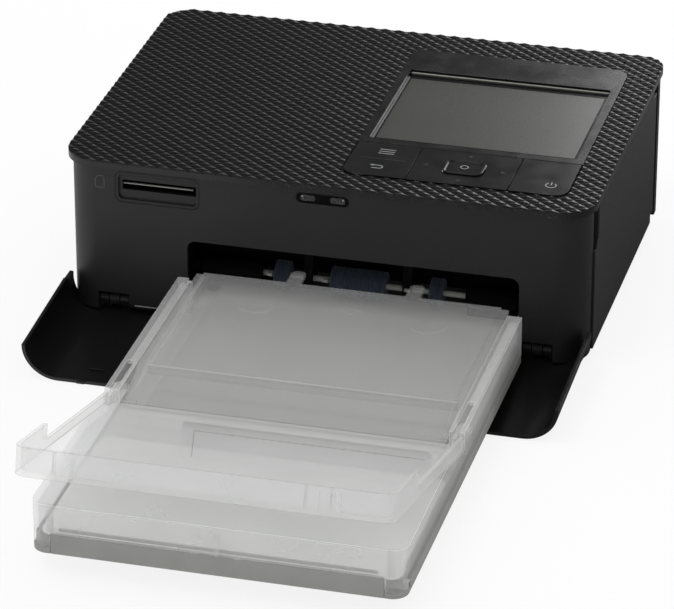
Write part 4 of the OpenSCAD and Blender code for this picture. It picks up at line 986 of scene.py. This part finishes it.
class PRINTER_OT_cassette(PrinterOperator):
    """Paper cassette: grey base and strip, frosted body and the paper."""

    bl_idname = "printer.cassette"
    bl_label = "Cassette"

    def execute(self, context):
        eased("cassette_base", 0.3)
        # Painted highlight: the body's rounded edges are lighter than its faces.
        eased("cassette_body", 0.3, edge_material="frost_painted_highlight")
        eased("cassette_front_strip", 0.25, 3)
        eased("lift_plate", 0.1)
        # Painted shade: the paper takes a grey, darker than white paper, that stands for the shade under
        # the inner lid.
        repaint("paper_stack")
        self.liner_and_crease_shade()
        self.cross_wall()
        self.floor_sheet()
        self.corner_columns()
        return {"FINISHED"}

    def liner_and_crease_shade(self):
        """Grey bars and strips of the base, which show through the frosted body, and a bar under the inner
        lid's bend as painted shade of the crease.
        """
        a, b = low("cassette_body"), high("cassette_body")
        wall, thick, head = 1.5, 0.4, 15.5
        bm = bmesh.new()
        plate(bm, (b.x - wall - thick, a.y + 8, a.z + 2.4), (b.x - wall, 16, head), 0.15, X_AXIS)
        plate(bm, (-39.5, a.y + wall, 14.4), (61, a.y + wall + 0.5, head), 0.2, Y_AXIS)
        # Painted shade: this bar under the inner lid's bend shows through as a dark crease.
        plate(bm, (-40.0, -45.2, 20.6), (63.0, -44.2, 23.9), 0.3, X_AXIS)
        level = high("cassette_base").z
        paper_left, paper_right = low("paper_stack").x, high("paper_stack").x
        for x0, x1 in ((a.x + 1.7, paper_left - 0.2), (paper_right + 0.2, b.x - 2.6)):
            plate(bm, (x0, -76, level - 0.2), (x1, b.y - 6, level + 0.25), 0.5)
        to_piece(bm, "cassette_liner", "grey", BODY_OF["cassette_body"], material="liner_and_crease_shade")

    def cross_wall(self):
        """Wall across the cassette, under the outer lid, coloured dark grey as painted shade."""
        bm = bmesh.new()
        # Painted shade: the dark grey stands for the shade under the outer lid.
        plate(bm, (-20.1, -74.0, 12.6), (61.5, -73.2, 20.6), 1.6, Y_AXIS)
        to_piece(bm, "cassette_cross_wall", "grey", BODY_OF["cassette_body"], material="dim")

    def floor_sheet(self):
        """White sheet over the front part of the paper."""
        a, b = low("cassette_body"), high("cassette_body")
        rear, side_gap, front_gap, level = -75, 2.2, 2.6, high("paper_stack").z + 0.1
        bm = bmesh.new()
        plate(bm, (a.x + side_gap, a.y + front_gap, level), (b.x - side_gap, rear, level + 0.3), 4)
        to_piece(bm, "cassette_floor_sheet", "frost", BODY_OF["cassette_body"], material="pale")

    def corner_columns(self):
        """Columns in the two front corners of the body, and the clip ribs along its front wall."""
        a, b = low("cassette_body"), high("cassette_body")
        inset_x, inset_y, middle_z, radius, length = 5.2, 4.0, 17.2, 1.1, 9.6
        bm = bmesh.new()
        for x in (a.x + inset_x, b.x - inset_x):
            cylinder(bm, (x, a.y + inset_y, middle_z), radius, length, Z_AXIS, 20, 0.3)
        plate(bm, (10.2, a.y - 0.12, 13.9), (11.8, a.y + 1.0, 21.4), 0.3, Y_AXIS)
        for x in (3.9, 17.5):
            plate(bm, (x - 1.1, a.y - 0.15, 13.8), (x + 1.1, a.y + 0.8, 14.5), 0.25, Y_AXIS)
        to_piece(bm, "cassette_columns", "frost", BODY_OF["cassette_body"])


class PRINTER_OT_lids(PrinterOperator):
    """Outer lid, raised as a tray for the prints, and inner lid."""

    bl_idname = "printer.lids"
    bl_label = "Cassette lids"

    def execute(self, context):
        # Painted shade on the outer lid's rounded rims, and painted highlight on the inner lid's rounded
        # edges.
        eased("outer_lid", 0.25, 3, edge_material="frost_painted_shade")
        eased("inner_lid", 0.28, 3, material="frost_thin", edge_material="frost_painted_highlight")
        self.outer_lid_ribs()
        return {"FINISHED"}

    def outer_lid_ribs(self):
        """Small ribs inside the outer lid's front wall, set square to the sloping lid."""
        slope, foot = math.radians(-14.1), Vector((0, -60, 18.67))
        wall_y, rib_foot, rib_head, half = -99.9, 0.3, 6.4, 0.4
        bm = bmesh.new()
        for x in (-29.4, 46.2, 52.9):
            plate(bm, (x - half, wall_y, rib_foot), (x + half, wall_y + 1.0, rib_head), 0.15, Z_AXIS)
        turn = Matrix.Translation(foot * MM) @ Matrix.Rotation(slope, 4, "X")
        bmesh.ops.transform(bm, matrix=turn, verts=bm.verts)
        to_piece(bm, "outer_lid_ribs", "frost", BODY_OF["outer_lid"])


# ---- Inside --------------------------------------------------------------------------------------


class PRINTER_OT_pick_up(PrinterOperator):
    """Pick-up shaft with its rollers, sleeves and hangers in the dark cassette guide."""

    bl_idname = "printer.pick_up"
    bl_label = "Pick-up"

    def execute(self, context):
        eased("opening_guide", 0.2, material="throat")
        repaint("pick_sleeves", material="throat")
        self.shaft()
        self.collars()
        self.rollers()
        return {"FINISHED"}

    def shaft(self):
        """Shaft, turned down between its sleeves, and the pale clips that hold the rollers on it."""
        a, b = low("pick_shaft"), high("pick_shaft")
        y, z, full, waist, bore = (a.y + b.y) / 2, (a.z + b.z) / 2, (b.z - a.z) / 2, 1.0, 0.3
        left, right, clips = -24.5, 47.5, (-1.6, 26.8, -21.0)
        profile = [(a.x, bore), (a.x, full), (left, full), (left, waist)]
        profile += [(right, waist), (right, full), (b.x, full), (b.x, bore)]
        bm = bmesh.new()
        ring_of(bm, profile, (0, y, z), steps=32)
        for x in clips:
            plate(bm, (x - 0.9, y - 4.4, z + 0.9), (x + 0.9, y - 2.4, z + 1.9), 0.25, X_AXIS)
        to_piece(bm, "pick_shaft_turned", "steel", BODY_OF["pick_shaft"], "shaft", ("pick_shaft",))

    def collars(self):
        """Black collars on the two bare ends of the shaft."""
        a, b = low("pick_shaft"), high("pick_shaft")
        y, z, radius = (a.y + b.y) / 2, (a.z + b.z) / 2, (b.z - a.z) / 2 + 0.4
        bm = bmesh.new()
        for x0, x1 in ((a.x, low("pick_sleeves").x), (high("pick_sleeves").x, b.x)):
            cylinder(bm, ((x0 + x1) / 2, y, z), radius, x1 - x0)
        to_piece(bm, "pick_shaft_collars", "dark", BODY_OF["pick_shaft"], "throat")

    def rollers(self):
        """Rubber rollers with the fine grooves round them that grip the paper."""
        a, b = low("pick_rollers"), high("pick_rollers")
        radius, bore, pitch, depth = (b.z - a.z) / 2 - 0.5, 1.4, 1.0, 0.28
        tyres = ((-19.6, -14.8), (0.0, 18.8), (34.4, 38.7))
        bm = bmesh.new()
        for start, end in tyres:
            count = round((end - start) / pitch)
            step = (end - start) / count
            profile = [(start, bore)]
            for i in range(count):
                x = start + i * step
                profile += [
                    (x + 0.02, radius - depth),
                    (x + step * 0.3, radius),
                    (x + step * 0.7, radius),
                    (x + step * 0.98, radius - depth),
                ]
            profile.append((end, bore))
            ring_of(bm, profile, (0, (a.y + b.y) / 2, (a.z + b.z) / 2))
        to_piece(bm, "pick_rollers_grooved", "roller", BODY_OF["pick_rollers"], replaces=("pick_rollers",))


class PRINTER_OT_works(PrinterOperator):
    """Drive, head, ribbon cartridge, chassis and boards inside the casing."""

    bl_idname = "printer.works"
    bl_label = "Inner works"

    def execute(self, context):
        for node in ("chassis", "motor_bracket", "thermal_head", "ribbon_case"):
            eased(node, 0.12)
        for node in ("power_inlet", "usb_port", "battery_contacts"):
            eased(node, 0.1)
        repaint("drive_motor", "motor_pinion", "pick_gear", "idler_gear", "platen_gear")
        repaint("platen_roller", "feed_roller", "pinch_roller", "head_posts")
        repaint("supply_spool", "take_up_spool", "ribbon_film", "main_board", "board_parts")
        return {"FINISHED"}


# ---- Studio --------------------------------------------------------------------------------------


class PRINTER_OT_studio(PrinterOperator):
    """Pale floor, soft lamps and the camera."""

    bl_idname = "printer.studio"
    bl_label = "Studio"

    def execute(self, context):
        scene = context.scene
        scene.view_settings.view_transform = "Standard"
        self.camera(scene)
        self.floor()
        studio = scene.printer_studio
        self.lamp("key softbox", (-275, -400, 1150), (0, 0, 30), (400, 400), studio.key_glow)
        self.lamp("back softbox", (190, 860, 380), (40, 60, 60), (470, 300), studio.back_glow)
        self.world(scene, studio.world)
        return {"FINISHED"}

    def camera(self, scene):
        """Looks from the front right and from above, at 27 degrees, and is turned by its own axes."""
        place = Vector((333.36, -1227.072, 671.35))
        right = Vector((0.967234, 0.253885, 0.000441))
        up = Vector((-0.114893, 0.436163, 0.892503))
        back = right.cross(up)
        data = bpy.data.cameras.new("studio camera")
        data.sensor_width = 36
        data.lens = scene.printer_studio.lens
        data.clip_start = 0.05
        data.clip_end = 20
        made = bpy.data.objects.new("studio camera", data)
        turn = Matrix((right, up, back)).transposed().to_4x4()
        made.matrix_world = Matrix.Translation(place * MM) @ turn
        scene.collection.objects.link(made)
        scene.camera = made

    def floor(self):
        """A wide pale sheet that shows as white paper and keeps the printer's shadow."""
        half_width = 6000 * MM
        bm = bmesh.new()
        bmesh.ops.create_grid(bm, x_segments=1, y_segments=1, size=half_width)
        mesh = bpy.data.meshes.new("studio floor")
        bm.to_mesh(mesh)
        bm.free()
        made = bpy.data.objects.new("studio floor", mesh)
        bpy.context.scene.collection.objects.link(made)
        mesh.materials.append(self.white_sheet())

    def white_sheet(self):
        """Matt white paper. The camera, a gloss or a lens sees it glow, and it keeps a faint shadow.

        In a gloss it is darker beside the printer, as if a black card lay there."""
        made, tree, shader, place = start_material("white studio paper", Roughness=0.9)
        vary(tree, shader, linear("f2f2f2"), patches(tree, place, 400, 2), (0.99, 1.0))
        card = {"Location": (0.18, 0.09, 0), "Scale": (0.27, 0.4, 1)}
        around = add_node(tree, "ShaderNodeMapping", card, {"Vector": place}, vector_type="TEXTURE")
        inside = add_node(
            tree, "ShaderNodeTexGradient", (), {"Vector": around.outputs[0]}, gradient_type="SPHERICAL"
        ).outputs["Fac"]
        dimmed = {"From Min": 0.0, "From Max": 0.6, "To Min": 0.8, "To Max": 0.03}
        sheen = add_node(tree, "ShaderNodeMapRange", dimmed, {"Value": inside}).outputs[0]
        path = add_node(tree, "ShaderNodeLightPath").outputs
        in_gloss = {"Factor": path["Is Glossy Ray"], "B": sheen}
        strength = add_node(tree, "ShaderNodeMix", {"A": 1.0}, in_gloss).outputs[0]
        glow = add_node(tree, "ShaderNodeEmission", {"Color": linear("ffffff")}, {"Strength": strength})
        share = self.seen_share(tree, path, 0.86)
        both = {"Fac": share, 1: shader.outputs[0], 2: glow.outputs[0]}
        mix = add_node(tree, "ShaderNodeMixShader", (), both)
        tree.links.new(mix.outputs[0], tree.nodes["Material Output"].inputs["Surface"])
        return made

    @staticmethod
    def seen_share(tree, path, share):
        """That share where the camera, a gloss or a lens looks, and none for the light on the printer."""
        total = path["Is Camera Ray"]
        for kind in ("Is Glossy Ray", "Is Transmission Ray"):
            either = {0: total, 1: path[kind]}
            total = add_node(tree, "ShaderNodeMath", (), either, operation="MAXIMUM").outputs[0]
        return add_node(tree, "ShaderNodeMath", {1: share}, {0: total}, operation="MULTIPLY").outputs[0]

    def lamp(self, name, place, target, size, glow):
        """A softbox of that radiance: its power is the radiance times pi times its area."""
        data = bpy.data.lights.new(name, "AREA")
        data.shape = "RECTANGLE"
        data.size = size[0] * MM
        data.size_y = size[1] * MM
        data.energy = glow * math.pi * data.size * data.size_y
        made = bpy.data.objects.new(name, data)
        made.location = Vector(place) * MM
        aim = Vector(target) - Vector(place)
        made.rotation_euler = aim.to_track_quat("-Z", "Y").to_euler()
        bpy.context.scene.collection.objects.link(made)

    def world(self, scene, strength):
        """Even light all round, white for the camera and a lens.

        A gloss sees it bright at the horizon and dim overhead, as in a room with a pale wall."""
        made = bpy.data.worlds.new("studio world")
        made.use_nodes = True
        tree = made.node_tree
        even = tree.nodes["Background"]
        even.inputs["Color"].default_value = linear("ffffff")
        even.inputs["Strength"].default_value = strength
        white = add_node(tree, "ShaderNodeBackground", {"Color": linear("ffffff"), "Strength": 1.0})
        direction = add_node(tree, "ShaderNodeTexCoord").outputs["Generated"]
        height = add_node(tree, "ShaderNodeSeparateXYZ", (), {"Vector": direction}).outputs["Z"]
        fall = {"From Min": 0.02, "From Max": 0.34, "To Min": 0.9, "To Max": 0.1}
        wall = add_node(
            tree, "ShaderNodeMapRange", fall, {"Value": height}, interpolation_type="SMOOTHSTEP"
        ).outputs[0]
        room = add_node(tree, "ShaderNodeBackground", {"Color": linear("ffffff")}, {"Strength": wall})
        path = add_node(tree, "ShaderNodeLightPath").outputs
        gloss = {"Fac": path["Is Glossy Ray"], 1: even.outputs[0], 2: room.outputs[0]}
        unseen = add_node(tree, "ShaderNodeMixShader", (), gloss).outputs[0]
        plain = {0: path["Is Camera Ray"], 1: path["Is Transmission Ray"]}
        seen = add_node(tree, "ShaderNodeMath", (), plain, operation="MAXIMUM").outputs[0]
        mix = add_node(tree, "ShaderNodeMixShader", (), {"Fac": seen, 1: unseen, 2: white.outputs[0]})
        tree.links.new(mix.outputs[0], tree.nodes["World Output"].inputs["Surface"])
        scene.world = made


# ---- Add-on --------------------------------------------------------------------------------------

OPERATORS = (
    PRINTER_OT_studio,
    PRINTER_OT_top_cover,
    PRINTER_OT_shells,
    PRINTER_OT_front_fittings,
    PRINTER_OT_door,
    PRINTER_OT_panel,
    PRINTER_OT_cassette,
    PRINTER_OT_lids,
    PRINTER_OT_pick_up,
    PRINTER_OT_works,
)
SETTINGS = (
    ("printer_finish", PrinterFinish),
    ("printer_relief", PrinterRelief),
    ("printer_studio", PrinterStudio),
)


class PRINTER_PT_looks(bpy.types.Panel):
    """Lists the printer's settings and the operators that build it."""

    bl_label = "Photo printer"
    bl_idname = "PRINTER_PT_looks"
    bl_space_type = "VIEW_3D"
    bl_region_type = "UI"
    bl_category = "Printer"

    def draw(self, context):
        for attribute, group in SETTINGS:
            settings = getattr(context.scene, attribute)
            for name in group.__annotations__:
                self.layout.prop(settings, name)
        for operator in OPERATORS:
            self.layout.operator(operator.bl_idname)


def register():
    """Adds the settings to the scene, and the operators and the panel to Blender."""
    for attribute, group in SETTINGS:
        bpy.utils.register_class(group)
        setattr(bpy.types.Scene, attribute, bpy.props.PointerProperty(type=group))
    for operator in OPERATORS:
        bpy.utils.register_class(operator)
    bpy.utils.register_class(PRINTER_PT_looks)


def unregister():
    """Takes back what register added."""
    bpy.utils.unregister_class(PRINTER_PT_looks)
    for operator in reversed(OPERATORS):
        bpy.utils.unregister_class(operator)
    for attribute, group in reversed(SETTINGS):
        delattr(bpy.types.Scene, attribute)
        bpy.utils.unregister_class(group)


def main():
    """Builds everything in order."""
    register()
    MATERIALS.update(make_materials())
    for operator in OPERATORS:
        group, name = operator.bl_idname.split(".")
        getattr(getattr(bpy.ops, group), name)()


if __name__ == "__main__":
    main()
